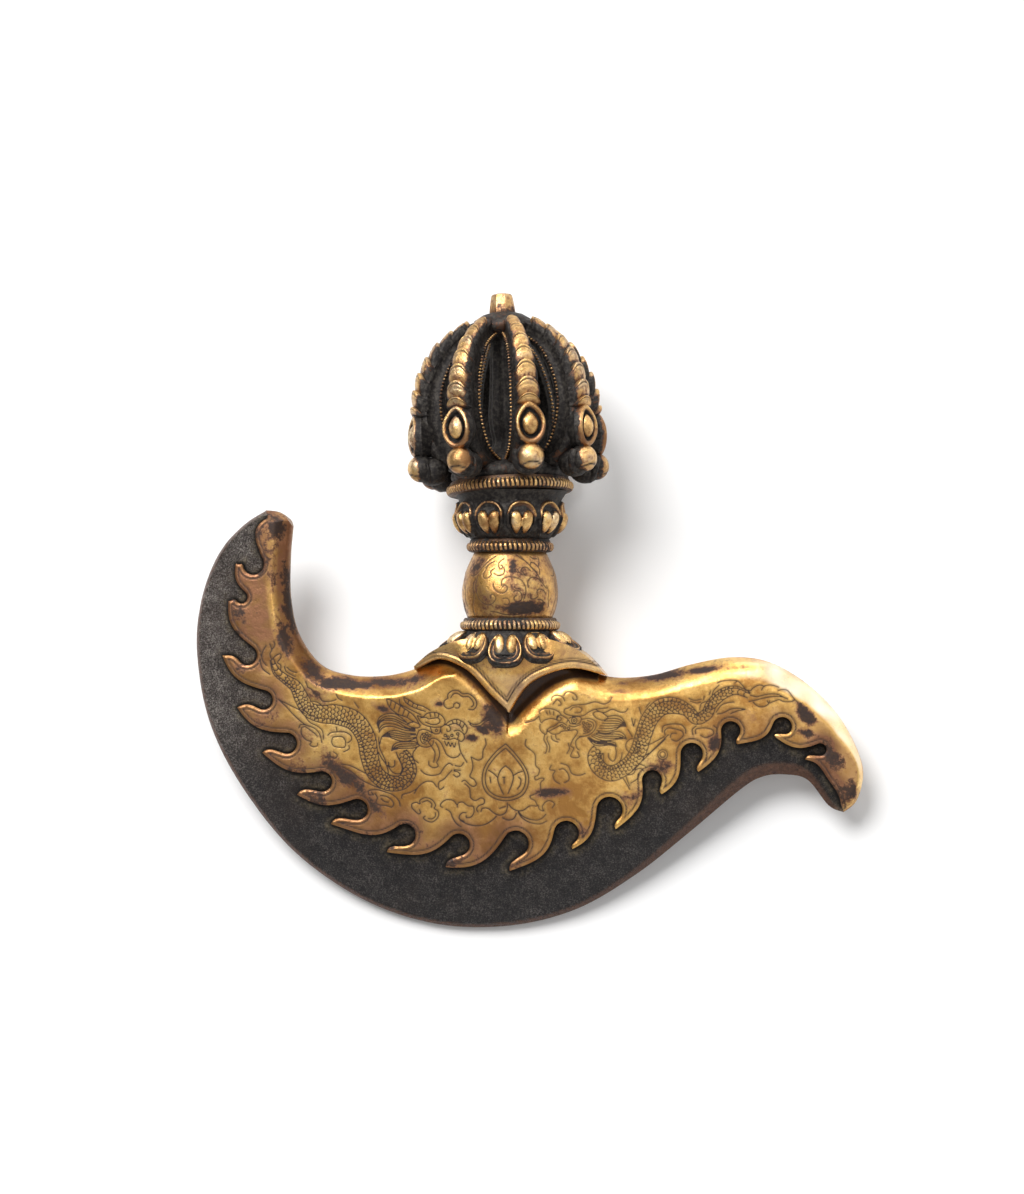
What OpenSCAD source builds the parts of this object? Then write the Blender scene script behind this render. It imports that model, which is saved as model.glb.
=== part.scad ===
// Kartika, the crescent chopper of Himalayan ritual. A forged blade sits between the two
// cheeks of a gilt mount with a flame edge. The blade's tang runs up through a yoke, a
// drooping lotus, a bulb grip and an upright lotus, and is peened over inside the base of
// a half vajra with eight outer prongs. Millimetres.
// +Z runs up the handle, +X to the long tail and the front looks to -Y. The origin is the
// middle of the grip. The vajra leans a little, as it was set.

/* [Blade] */
// Width of the crescent from the horn to the tail
blade_span = 180.4; // [165:0.1:196]
// Thickness left along the ground edge
edge_land = 0.8; // [0.4:0.1:1.6]
// Width of the ground edge at the horn and the belly
grind_belly = 0.8; // [0.5:0.1:1.6]
// Width of the ground edge under the tail
grind_tail = 3; // [1.6:0.1:4]
// Diameter of the tang
tang_d = 7; // [5:0.1:9]

/* [Mount] */
// Thickness of the mount below the yoke
mount_t = 16; // [14:0.1:20]
// Thickness of the mount at the tip of the tail
tail_t = 4.8; // [4:0.1:7]
// Height of the flame plate over the blade's face
cheek_t = 1.8; // [1.2:0.1:2.4]
// Width of the flat left along the mount's back
spine_land = 3.2; // [2:0.1:4]
// Widest run of the back's bevel
bevel_most = 5.8; // [4:0.1:7]
// Outward run of the back's bevel for each millimetre of its depth, horn side
bevel_horn = 1; // [0.8:0.05:1.2]
// The same run on the tail side
bevel_tail = 1.35; // [1:0.05:1.5]
// Metal between the bevel and the buried back of the blade
back_wall = 1; // [0.6:0.1:2]
// Diameter of the blind pins
pin_d = 3; // [2:0.1:4]
// Depth of a pin in each cheek
pin_depth = 1; // [0.5:0.1:1.1]
// Clearance between pieces that seat on each other
fit = 0.05; // [0.02:0.01:0.15]

/* [Yoke] */
// Height of the yoke over the mount's back
yoke_rise = 6.5; // [5:0.1:8]
// Length of the lappets below the mount's back
lappet_drop = 13.2; // [10:0.1:18]
// Thickness of a lappet at its tip
lappet_t = 1.5; // [1:0.1:3]
// Depth of the yoke from front to rear, under the lotus
yoke_depth = 27; // [25:0.1:30]
// Reach of the yoke's wing on the horn side
wing_horn = 25.8; // [22:0.1:30]
// Reach of the yoke's wing on the tail side
wing_tail = 26.3; // [22:0.1:30]

/* [Lower lotus] */
// Height of the lotus collar over the yoke
collar_h = 2.2; // [1.5:0.1:4]
// Diameter of the collar
collar_d = 25; // [22:0.1:27]
// Reach of the front and rear petals from the axis
petal_reach_front = 15.6; // [14.8:0.1:18]
// Reach of the side petals from the axis
petal_reach_side = 20; // [17:0.1:23]
// Drop of the front petals below the collar's top
petal_drop_front = 9.5; // [7:0.1:11]
// Drop of the side petals below the collar's top
petal_drop_side = 5.7; // [4.5:0.1:7]
// Width of a drooping petal
petal_w = 8.2; // [6:0.1:9]
// Thickness of a drooping petal
petal_t = 2.2; // [1.5:0.1:3]

/* [Grip and rings] */
// Height of the grip
grip_h = 17.6; // [15:0.1:40]
// Greatest diameter of the grip
grip_d = 25.7; // [24:0.1:32]
// Diameter of the grip at its top rim
grip_top_d = 19.2; // [17:0.1:22]
// Diameter of the grip at its bottom rim
grip_foot_d = 22.4; // [20:0.1:24]
// Wall of the grip's shell
grip_wall = 1.4; // [0.8:0.1:2.5]
// Diameter of the ring under the grip
low_ring_d = 27; // [25.5:0.1:30]
// Height of the ring under the grip
low_ring_h = 3.5; // [2.5:0.1:5]
// Diameter of the ring over the grip
high_ring_d = 23.5; // [22:0.1:26]
// Height of the ring over the grip
high_ring_h = 3.7; // [2.5:0.1:5]
// Depth of the milling on the rings
milling = 0.4; // [0.2:0.05:0.7]

/* [Upper lotus] */
// Height of the upright lotus
cup_h = 12; // [10:0.1:15]
// Greatest diameter of the upright lotus, without its petals
cup_d = 28.4; // [26:0.1:31]
// Diameter of the upright lotus at its foot
cup_foot_d = 21.4; // [18:0.1:23]
// Width of an upright petal
cup_petal_w = 8; // [6:0.1:8.6]

/* [Vajra] */
// Lean of the vajra to the rear
lean_back = 4; // [0:0.1:6]
// Lean of the vajra to the horn side
lean_side = 2.8; // [0:0.1:5]
// Turn of the prongs about the vajra's axis
vajra_turn = -3.5; // [-20:0.5:20]
// Diameter of the plate under the vajra
plate_d = 34.4; // [32:0.1:36]
// Thickness of the plate under the vajra
plate_h = 3.6; // [2.5:0.1:5]
// Diameter of the vajra's base
hub_d = 31.6; // [29:0.1:33]
// Height of the vajra's base
hub_h = 4.6; // [4:0.1:6]
// Radius from the axis to the backs of the outer prongs
vajra_r = 25; // [23:0.1:30]
// Height of the vajra over its plate, without the knob
vajra_h = 44.8; // [40:0.1:60]
// Width of an outer prong at its foot
prong_w = 6.8; // [5:0.1:7]
// Width of an outer prong at the crown
prong_tip_w = 3.4; // [2.4:0.1:4]
// Radius of the snout balls
ball_r = 3.6; // [2.5:0.1:4]
// Width of the oval bosses
boss_w = 8; // [6:0.1:9]
// Height of the oval bosses
boss_h = 11.4; // [9.5:0.1:13]
// Height of the finial knob
knob_h = 5.6; // [4:0.1:9]
// Diameter of the knob at its foot
knob_d = 7.2; // [6:0.1:8]
// Thickness of the washer that the tang is peened over
washer_t = 1.4; // [1:0.1:1.8]

/* [Hidden] */
$fn = 64;
PRONG_COUNT = 8;

// Colours
GILT = "#c39a4c";
IRON = "#3a3836";
DARK = "#4a4440";
LAC = "#5a2a1a";

// Heights up the handle, from the middle of the grip
grip_foot_z = -grip_h / 2;
grip_top_z = grip_h / 2;
collar_top_z = grip_foot_z - low_ring_h;
yoke_top_z = collar_top_z - collar_h;
seat_z = yoke_top_z - yoke_rise;
cup_foot_z = grip_top_z + high_ring_h;
pivot_z = cup_foot_z + cup_h;
tang_r = tang_d / 2;

// The outlines are drawn at this span, with the mount's back at this height under the yoke
DRAWN_SPAN = 180.4;
DRAWN_SEAT = -21;
grow = blade_span / DRAWN_SPAN;
function place(p) = [p[0] * grow, seat_z + (p[1] - DRAWN_SEAT) * grow];
function place_all(list) = [for (p = list) place(p)];

// Every line keeps the metal on its left. Cutting edge, from the tip of the horn round the
// belly to the tip of the tail
EDGE = place_all([
    [-66.5, 20.4], [-73, 16.2], [-79.6, 8.6], [-84.3, -3.5], [-85.6, -18], [-82.3, -36.5],
    [-73.6, -54], [-59, -72], [-40, -85], [-20, -91.5], [0, -91.8], [18, -87.2], [34, -77.8],
    [48, -66.7], [62, -54.9], [68, -51.4], [74, -50.8], [80, -52.2], [85.6, -59], [89.6, -60.8]
]);
// The mount's back from the tip of the tail to the yoke
BACK_TAIL = place_all([
    [89.6, -60.8], [93, -57.8], [94.8, -51], [93.2, -44], [88, -34.7], [80, -26.6], [70, -20.8],
    [60, -19.4], [49, -21.3], [38, -24.3], [26.3, -24.8], [18, -23], [10, -21.2]
]);
// The mount's back from the yoke to the horn, then the horn's rounded end
BACK_HORN = place_all([
    [-20, -21.2], [-25.5, -22.8], [-34, -24.5], [-43, -24.4], [-51.4, -21.6], [-57.6, -13.2],
    [-59.9, -3], [-59.9, 8], [-59.2, 16]
]);
HORN_CAP = place_all([[-59.2, 16], [-60.6, 18.3], [-63.2, 20], [-66.5, 20.4]]);
// The line along which the horn's end is bevelled
HORN_END = place_all([[-57, 18], [-69, 21.2]]);
// Each flame: its tip, the middle and radius of the bay after it, and its belly's swell
FLAMES = [
    [-65.5, 18.2, -69.4, 5.8, 3, 0.24],
    [-74.2, 5.8, -72.7, -3.2, 1.8, 0],
    [-76.2, -4.3, -71.1, -18.9, 2.8, 0],
    [-77.9, -19.1, -66.7, -31, 2.7, -0.04],
    [-73.9, -33.1, -60.3, -42.7, 2.9, -0.04],
    [-67, -45.3, -50.6, -53, 2.8, -0.07],
    [-57.5, -56.6, -41, -60.5, 2.9, -0.08],
    [-48.3, -64.5, -28.1, -67.3, 3, -0.08],
    [-33, -72, -13.4, -69.8, 3, -0.05],
    [-17, -75.9, 2, -69.4, 3.5, 0.02],
    [0.3, -76.8, 15.6, -66.6, 3.4, 0],
    [17.2, -70.8, 27.2, -60.2, 3.5, 0],
    [28.9, -65.4, 38.6, -52.2, 2.7, 0],
    [41.2, -56, 49.2, -45.2, 3, 0],
    [51, -50, 59.6, -39, 2.6, 0],
    [61.4, -42.6, 73.3, -37.9, 2.6, 0],
    [71.4, -40.6, 83.4, -44, 1.7, 0]
];
// The last flame runs out along the tail
TAIL_FLAME = place_all([[79.4, -46.6], [82.6, -47.9], [85.6, -52], [88.2, -56], [89, -59]]);
// Where a bay's arc starts and ends, from the line between two tips
BAY_START = 150;
BAY_END = -45;
// Pins that hold the cheeks to the blade
PINS = place_all([[-66.5, -12], [-49, -38], [-18, -52], [22, -50], [50, -36], [79, -34]]);

// A smooth curve through the points of p, in n steps between each two
function smooth(p, n) = concat(
    [for (i = [0:len(p) - 2], j = [0:n - 1]) smooth_at(p, i, j / n)],
    [p[len(p) - 1]]
);
function smooth_at(p, i, t) =
    let (
        a = p[max(i - 1, 0)], b = p[i], c = p[i + 1], d = p[min(i + 2, len(p) - 1)],
        t2 = t * t, t3 = t * t * t
    )
    (2 * t3 - 3 * t2 + 1) * b + (3 * t2 - 2 * t3) * c
    + (t3 - 2 * t2 + t) * (c - a) / 2 + (t3 - t2) * (d - b) / 2;

// A cubic curve from a to d, without its last point
function bezier(a, b, c, d, n) = [
    for (j = [0:n - 1])
        let (t = j / n, s = 1 - t)
        s * s * s * a + 3 * s * s * t * b + 3 * s * t * t * c + t * t * t * d
];

// The edge of one flame: belly, bay and the crest that ends at the next tip
function flame(tip, bay, r, swell, next) =
    let (
        t = (next - tip) / norm(next - tip),
        n = [-t[1], t[0]],
        ring = function(a) bay + r * (cos(a) * t + sin(a) * n),
        heading = function(a) sin(a) * t - cos(a) * n,
        start = ring(BAY_START),
        end = ring(BAY_END),
        reach = norm(start - tip),
        crest = norm(next - end)
    )
    concat(
        bezier(tip, tip + reach * (0.45 * t - swell * n), start - 0.45 * reach * heading(BAY_START), start, 4),
        [for (j = [0:5]) ring(BAY_START + (BAY_END - BAY_START) * j / 6)],
        bezier(end, end + 0.4 * crest * heading(BAY_END), next + crest * (0.4 * n - 0.12 * t), next, 3)
    );
function flame_tip(i) = i < len(FLAMES) ? place([FLAMES[i][0], FLAMES[i][1]]) : TAIL_FLAME[0];
flame_edge = concat(
    [
        for (i = [0:len(FLAMES) - 1])
            let (f = FLAMES[i])
            each flame(flame_tip(i), place([f[2], f[3]]), f[4] * grow, f[5], flame_tip(i + 1))
    ],
    smooth(TAIL_FLAME, 3)
);
STEPS = 4;
back_line = concat(smooth(BACK_TAIL, STEPS), smooth(BACK_HORN, STEPS));
edge_line = smooth(EDGE, 3);
// Points of the back at the yoke's two wings, and the first one past the yoke
TAIL_WING = STEPS * 10;
HORN_WING = STEPS * 13 + 1;
HORN_START = STEPS * 12 + 1;

// Both faces of blade and mount fall away outward as cones about the grip's middle
tail_rho = norm(EDGE[len(EDGE) - 1]);
root_rho = norm([0, seat_z - lappet_drop]);
slope = (mount_t - tail_t) / 2 / (tail_rho - root_rho);
mount_mid = mount_t / 2 + slope * root_rho;
blade_mid = mount_mid - cheek_t;
// Least half thickness of the blade, out at the tail
blade_least = tail_t / 2 - cheek_t * 0.7;
function mount_half(p) = mount_mid - slope * norm(p);
function blade_half(p) = max(blade_mid - slope * norm(p), blade_least);
function unit(v) = v / norm(v);
// Direction into the metal at point i of a line
function inward(line, i) =
    let (d = unit(line[min(i + 1, len(line) - 1)] - line[max(i - 1, 0)]))
    [-d[1], d[0]];

// Run of the back's bevel
function bevel_run(p) =
    min(bevel_most, (p[0] < 0 ? bevel_horn : bevel_tail) * (mount_half(p) - spine_land / 2));
// Depth at which the blade's back is buried, with a wall between it and the bevel
function bury(p) =
    let (deep = mount_half(p) - spine_land / 2)
    max(2, bevel_run(p) * (deep - cheek_t + back_wall) / deep);
function buried(i, clear) = back_line[i] + (bury(back_line[i]) - clear) * inward(back_line, i);
// Under the yoke the buried back runs straight between the wings
function buried_back(clear) = concat(
    [for (i = [1:TAIL_WING]) buried(i, clear)],
    [for (i = [HORN_WING:len(back_line) - 1 - STEPS]) buried(i, clear)]
);

// The double cone whose faces the blade and the mount follow
module lens(mid) {
    for (side = [-90, 90])
        rotate([side, 0, 0]) cylinder(h = mid, r1 = mid / slope, r2 = 0, $fn = 96);
}

// A plate in the plane of the blade, from y0 to y1
module plate(points, y0, y1) {
    translate([0, y1, 0]) rotate([90, 0, 0]) linear_extrude(y1 - y0) polygon(points);
}

// A bar of triangular section through the corners in rings
module bar(rings) {
    n = len(rings);
    polyhedron(
        points = [for (r = rings) each r],
        faces = concat(
            [[0, 1, 2]],
            [
                for (i = [0:n - 2], j = [0:2])
                    let (a = 3 * i + j, b = 3 * i + (j + 1) % 3)
                    each [[a, a + 3, b + 3], [a, b + 3, b]]
            ],
            [[3 * n - 1, 3 * n - 2, 3 * n - 3]]
        )
    );
}

// Cuts a slanting face along a line, front and rear. Each row is a point, the way into the
// metal, the run and the half thickness at its inner end. land is half the flat left.
module slant_cut(rows, land, over) {
    for (side = [0, 1])
        mirror([0, side, 0])
            bar([
                for (r = rows)
                    let (
                        p = r[0], m = r[1], rise = (r[3] - land) / r[2],
                        low = p - over * m, high = p + (r[2] + over) * m
                    )
                    [
                        [low[0], -(land - over * rise), low[1]],
                        [high[0], -(r[3] + over * rise), high[1]],
                        [low[0], -(r[3] + over * rise + over), low[1]]
                    ]
            ]);
}

// Rows from one point of the back to another, and a little past both
function bevel_rows(from, to) = [
    for (i = [from:to])
        let (
            p = back_line[i],
            m = inward(back_line, i),
            past = i == from ? -0.3 : (i == to ? 0.3 : 0)
        )
        [p + past * [m[1], -m[0]], m, bevel_run(p), mount_half(p)]
];

// Both cheeks in one, before they are parted
module mount_blank(clear) {
    intersection() {
        plate(
            concat(back_line, [for (p = smooth(HORN_CAP, 3)) if (p != HORN_CAP[0]) p], flame_edge),
            -mount_mid, mount_mid
        );
        lens(mount_mid + clear);
    }
}

// Share of the wider grind at each place along the edge
function grind(p) =
    let (share = lookup(p[0] / grow, [[0, 0], [30, 0.15], [48, 0.55], [66, 1], [76, 1], [84, 0.25], [89, 0]]))
    grind_belly + (grind_tail - grind_belly) * share;

// The blade's faces, with a least thickness out at the tail
module blade_faces(clear) {
    lens(blade_mid + clear);
    cube([3 * blade_span, 2 * (blade_least + clear), 3 * blade_span], center = true);
}

module blade_plate() {
    intersection() {
        plate(concat(buried_back(0), edge_line), -mount_mid, mount_mid);
        union() blade_faces(0);
    }
}

// The room that the blade takes in the mount
module blade_room() {
    far = blade_span;
    horn = EDGE[0];
    tail = EDGE[len(EDGE) - 1];
    outline = concat([tail], buried_back(fit), [horn, horn + [-2, 2], [-far, 40], [-far, -far], [tail[0], -far]]);
    intersection() {
        plate(outline, -mount_mid, mount_mid);
        union() blade_faces(fit);
    }
}

module tang(clear) {
    r = tang_r + clear;
    foot = min(buried(TAIL_WING, 0)[1], buried(HORN_WING, 0)[1]) - 2;
    translate([0, 0, foot]) cylinder(h = pivot_z - foot, r = r);
    // Over the upright lotus the tang is thinner and follows the vajra's lean
    vajra_frame() translate([0, 0, -2]) cylinder(h = washer_top + 2, r = r - tang_step);
}

module pins(clear, depth) {
    for (p = PINS)
        translate([p[0], 0, p[1]]) rotate([90, 0, 0])
            cylinder(h = 2 * (blade_half(p) + depth), r = pin_d / 2 + clear, center = true, $fn = 32);
}

module blade() {
    rows = [
        for (i = [0:len(edge_line) - 1])
            let (p = edge_line[i])
            [p, inward(edge_line, i), grind(p), blade_half(p)]
    ];
    color(IRON) difference() {
        union() {
            blade_plate();
            tang(0);
            vajra_frame() translate([0, 0, washer_top]) cylinder(h = peen_h, r1 = tang_r + 0.6, r2 = tang_r - 1);
        }
        slant_cut(rows, edge_land / 2, 1.5);
        pins(fit, 1);
    }
}

module cheek() {
    ends = [
        for (p = HORN_END) [p, inward(HORN_END, 0), 2.6 * grow, mount_half(p)]
    ];
    color(GILT) difference() {
        intersection() {
            mount_blank(0);
            translate([-2 * blade_span, -mount_mid, -2 * blade_span])
                cube([4 * blade_span, mount_mid, 4 * blade_span]);
        }
        blade_room();
        slant_cut(bevel_rows(0, TAIL_WING + STEPS), spine_land / 2, 1.5);
        slant_cut(bevel_rows(HORN_START + 1, len(back_line) - 1), spine_land / 2, 1.5);
        slant_cut(ends, spine_land / 2, 1.5);
        tang(fit);
        pins(fit, pin_depth + fit);
    }
}
module front_cheek() cheek();
module rear_cheek() mirror([0, 1, 0]) cheek();
module cheek_pins() color(GILT) pins(0, pin_depth);

// Lower edges of the yoke: from each wing over an arch to the lappet's point
LAPPET_TIP = [0.6, seat_z - lappet_drop];
ARCH_HORN = [
    [-wing_horn, seat_z - 1], [-18, seat_z + 1.2], [-10.5, seat_z - 1.8], [-4, seat_z - 0.65 * lappet_drop],
    LAPPET_TIP
];
ARCH_TAIL = [
    LAPPET_TIP, [5, seat_z - 0.5 * lappet_drop], [10.5, seat_z - 3], [18, seat_z - 1.3],
    [wing_tail, seat_z - 3.4]
];

// The yoke before it is slotted for the mount
module yoke_blank(clear) {
    top = yoke_top_z + clear;
    tip_half = mount_half(LAPPET_TIP) + lappet_t;
    waist = yoke_depth / 2;
    intersection() {
        plate(
            concat(
                [[-11, top], [-20, seat_z + 3.4 + clear], [-wing_horn - clear, seat_z - 1 + clear]],
                smooth(ARCH_HORN, 4),
                smooth(ARCH_TAIL, 4),
                [[wing_tail + clear, seat_z - 3.4 + clear], [20, seat_z + 2.8 + clear], [11, top]]
            ),
            -waist - 1, waist + 1
        );
        rotate([90, 0, 90]) linear_extrude(3 * (wing_horn + wing_tail), center = true)
            polygon([
                [waist - 1.5 + clear, top], [waist + clear, seat_z + 1.5], [tip_half, LAPPET_TIP[1]],
                [-tip_half, LAPPET_TIP[1]], [-waist - clear, seat_z + 1.5], [1.5 - waist - clear, top]
            ]);
        linear_extrude(4 * waist, center = true)
            polygon([
                [-wing_horn - 1, 3.5], [-12, 11.8], [0, waist + clear], [12, 11.8], [wing_tail + 1, 3.5],
                [wing_tail + 1, -3.5], [12, -11.8], [0, -waist - clear], [-12, -11.8], [-wing_horn - 1, -3.5]
            ]);
    }
}

module yoke() {
    color(GILT) difference() {
        yoke_blank(0);
        intersection() {
            plate(
                concat(
                    [[40, seat_z - 40]],
                    [for (i = [TAIL_WING - STEPS:HORN_WING + STEPS]) back_line[i] + [0, fit]],
                    [[-40, seat_z - 40]]
                ),
                -mount_mid, mount_mid
            );
            lens(mount_mid + fit);
        }
        tang(fit);
    }
}

// A tapered lobe along Z, its wide end up, to be half sunk in a petal
module lobe(w, h) translate([0, 0, -h / 2]) cylinder(h = h, r1 = w * 0.3, r2 = w / 2, $fn = 24);

// A spindle-shaped bead along Z
module bead(w, h) {
    r = (h * h + w * w) / (4 * w);
    rotate_extrude($fn = 24) intersection() {
        translate([w / 2 - r, 0]) circle(r, $fn = 64);
        translate([0, -h / 2]) square([w, h]);
    }
}

// Turns something that points along +X to the azimuth a, counted from the front to +X
module facing(a) rotate([0, 0, a - 90]) children();

// One drooping petal, its root on the collar and its two beads on its back
module drooping_petal(a) {
    side = sin(a) * sin(a);
    root = [collar_d / 2 - 1.2, collar_top_z - 1];
    tip_r = petal_reach_front + (petal_reach_side - petal_reach_front) * side;
    tip_z = collar_top_z - petal_drop_front + (petal_drop_front - petal_drop_side) * side;
    length = norm([tip_r, tip_z] - root);
    round_x = length - petal_w / 2;
    facing(a) translate([root[0], 0, root[1]])
        rotate([0, atan2(root[1] - tip_z, tip_r - root[0]), 0]) {
            translate([0, 0, -petal_t / 2]) linear_extrude(petal_t) {
                polygon([
                    [-0.5, -petal_w * 0.36], [round_x, -petal_w / 2], [round_x, petal_w / 2], [-0.5, petal_w * 0.36]
                ]);
                translate([round_x, 0]) circle(petal_w / 2);
            }
            for (y = [-1, 1])
                translate([length * 0.42, y * petal_w * 0.2, petal_t / 2]) rotate([0, 90, 0])
                    lobe(petal_w * 0.34, length * 0.6);
        }
}

module lower_lotus() {
    color(DARK) difference() {
        union() {
            translate([0, 0, collar_top_z - 6.4]) cylinder(h = 6.4, r1 = collar_d / 2 + 2.4, r2 = collar_d / 2);
            for (i = [0:9]) drooping_petal(36 * i);
        }
        yoke_blank(fit);
        tang(fit);
        translate([0, 0, collar_top_z]) cylinder(h = 10, r = collar_d);
        // Nothing of the lotus reaches in under the yoke
        translate([0, 0, seat_z - 10]) cylinder(h = 10 + 2.6, r = 13);
    }
}

// A ring with its rim milled into small teeth, from z = 0 up
module milled_ring(d, h, teeth, bore) {
    r = d / 2;
    step = 180 / teeth;
    difference() {
        intersection() {
            rotate_extrude() polygon([
                [0, 0], [r - 1.2, 0], [r + 0.1, h * 0.3], [r + 0.1, h * 0.7], [r - 0.8, h], [0, h]
            ]);
            linear_extrude(h) polygon([
                for (i = [0:2 * teeth - 1]) (i % 2 == 0 ? r : r - milling) * [cos(i * step), sin(i * step)]
            ]);
        }
        translate([0, 0, -1]) cylinder(h = h + 2, r = bore);
    }
}

module lower_ring() {
    color(GILT) translate([0, 0, collar_top_z]) milled_ring(low_ring_d, low_ring_h, 64, tang_r + fit);
}
module upper_ring() {
    color(GILT) translate([0, 0, grip_top_z]) milled_ring(high_ring_d, high_ring_h, 56, tang_r + fit);
}

// Outline of the grip, from its foot to its top, less the thickness of a wall
function grip_profile(less) = [
    for (p = smooth([
        [grip_foot_d / 2, grip_foot_z], [grip_d / 2 - 0.6, -grip_h * 0.34], [grip_d / 2, -grip_h * 0.12],
        [grip_d / 2 - 0.9, grip_h * 0.15], [(grip_top_d + grip_d) / 4 - 0.6, grip_h * 0.34],
        [grip_top_d / 2, grip_top_z]
    ], 4)) p - [less, 0]
];

module grip_shell() {
    outer = grip_profile(0);
    inner = grip_profile(grip_wall);
    color(GILT) rotate_extrude()
        polygon(concat(outer, [for (i = [len(inner) - 1:-1:0]) inner[i]]));
}
module grip_core() {
    color(LAC) difference() {
        rotate_extrude() polygon(concat(
            [[0, grip_foot_z]], grip_profile(grip_wall + fit), [[0, grip_top_z]]
        ));
        tang(fit);
    }
}

// One upright petal of the upper lotus: a rimmed disc and two beads
module upright_petal(a) {
    r = cup_petal_w / 2;
    facing(a) translate([cup_d / 2 - 0.5, 0, cup_foot_z + cup_h * 0.52]) {
        rotate([0, 90, 0]) cylinder(h = 1.1, r = r);
        translate([1.1, 0, 0]) rotate([0, 90, 0]) rotate_extrude() translate([r - 0.5, 0]) circle(0.5, $fn = 24);
        for (y = [-1, 1])
            translate([1.1, y * r * 0.38, -0.8]) lobe(r * 0.6, r * 1.3);
    }
}

module upper_lotus() {
    r = cup_d / 2;
    color(DARK) difference() {
        union() {
            rotate_extrude() polygon(concat(
                [[0, cup_foot_z]],
                smooth([
                    [cup_foot_d / 2, cup_foot_z], [r - 1.2, cup_foot_z + cup_h * 0.2],
                    [r, cup_foot_z + cup_h * 0.5], [r - 0.6, cup_foot_z + cup_h * 0.8],
                    [r + 1.4, pivot_z + 2]
                ], 4),
                [[0, pivot_z + 2]]
            ));
            for (i = [0:9]) upright_petal(18 + 36 * i);
        }
        vajra_frame() cylinder(h = 10, r = 2 * r);
        tang(fit);
    }
}

// Everything over the upper lotus is drawn upright in this leaning frame
module vajra_frame() translate([0, 0, pivot_z]) rotate([-lean_back, -lean_side, 0]) children();

// Heights in the vajra's own frame
washer_z = plate_h + 1.4;
washer_top = washer_z + washer_t;
peen_h = 1.1;
hub_top = plate_h + hub_h;
foot_z = plate_h + 1.8;
crown_z = plate_h + vajra_h - 5.2;
crown_top = plate_h + vajra_h + 0.6;
recess_r = tang_r + 3.7;
// How much thinner the tang is in the vajra, so that it passes the bend
tang_step = 0.5;
// Radius at which the prongs' feet start, and at which their tips end in the crown
foot_r = 9;
tip_r = 6.6;

module top_ring() {
    color(GILT) vajra_frame() milled_ring(plate_d, plate_h, 80, tang_r - tang_step + fit);
}

module vajra_hub() {
    r = hub_d / 2;
    color(DARK) vajra_frame() difference() {
        rotate_extrude() polygon([
            [0, plate_h], [r - 0.8, plate_h], [r, foot_z], [r - 1, hub_top - 1.4], [foot_r, hub_top], [0, hub_top]
        ]);
        translate([0, 0, plate_h - 1]) cylinder(h = hub_h + 2, r = tang_r - tang_step + fit);
        translate([0, 0, washer_z]) cylinder(h = hub_h, r = recess_r);
        for (i = [0:PRONG_COUNT - 1])
            prong_facing(i) translate([foot_r - fit, -prong_w / 2 - fit, foot_z - fit])
                cube([r, prong_w + 2 * fit, hub_h]);
    }
}

module tang_washer() {
    color(IRON) vajra_frame() difference() {
        translate([0, 0, washer_z]) cylinder(h = washer_t, r = recess_r - fit);
        translate([0, 0, washer_z - 1]) cylinder(h = washer_t + 2, r = tang_r - tang_step + fit);
    }
}

module prong_facing(i) facing(vajra_turn + 360 / PRONG_COUNT * (i + 0.5)) children();

// A point of the prong's outline, given at a radius of 25 and a height of 44.8 over the plate
function vajra_point(p) = [p[0] * vajra_r / 25, plate_h + (p[1] - 3.6) * vajra_h / 44.8];
function vajra_points(list) = [for (p = list) vajra_point(p)];
PRONG_BACK = vajra_points([
    [15.5, 5.9], [21.2, 9.6], [24.4, 16], [25, 23], [23.4, 31.5], [19, 39.4], [12, 45.4], [5, 48.2]
]);
PRONG_BELLY = vajra_points([[5, 42.6], [12, 38], [16.6, 30], [17.6, 21.5], [14.6, 13], [9, 9.4]]);
// Middles of the overlapping scales on a prong's back, and their tilt
SCALES = [[24.9, 26.6, 8], [23.6, 31, 20], [21.2, 35.4, 34], [17.9, 39.6, 46], [14, 42.9, 56]];

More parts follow.
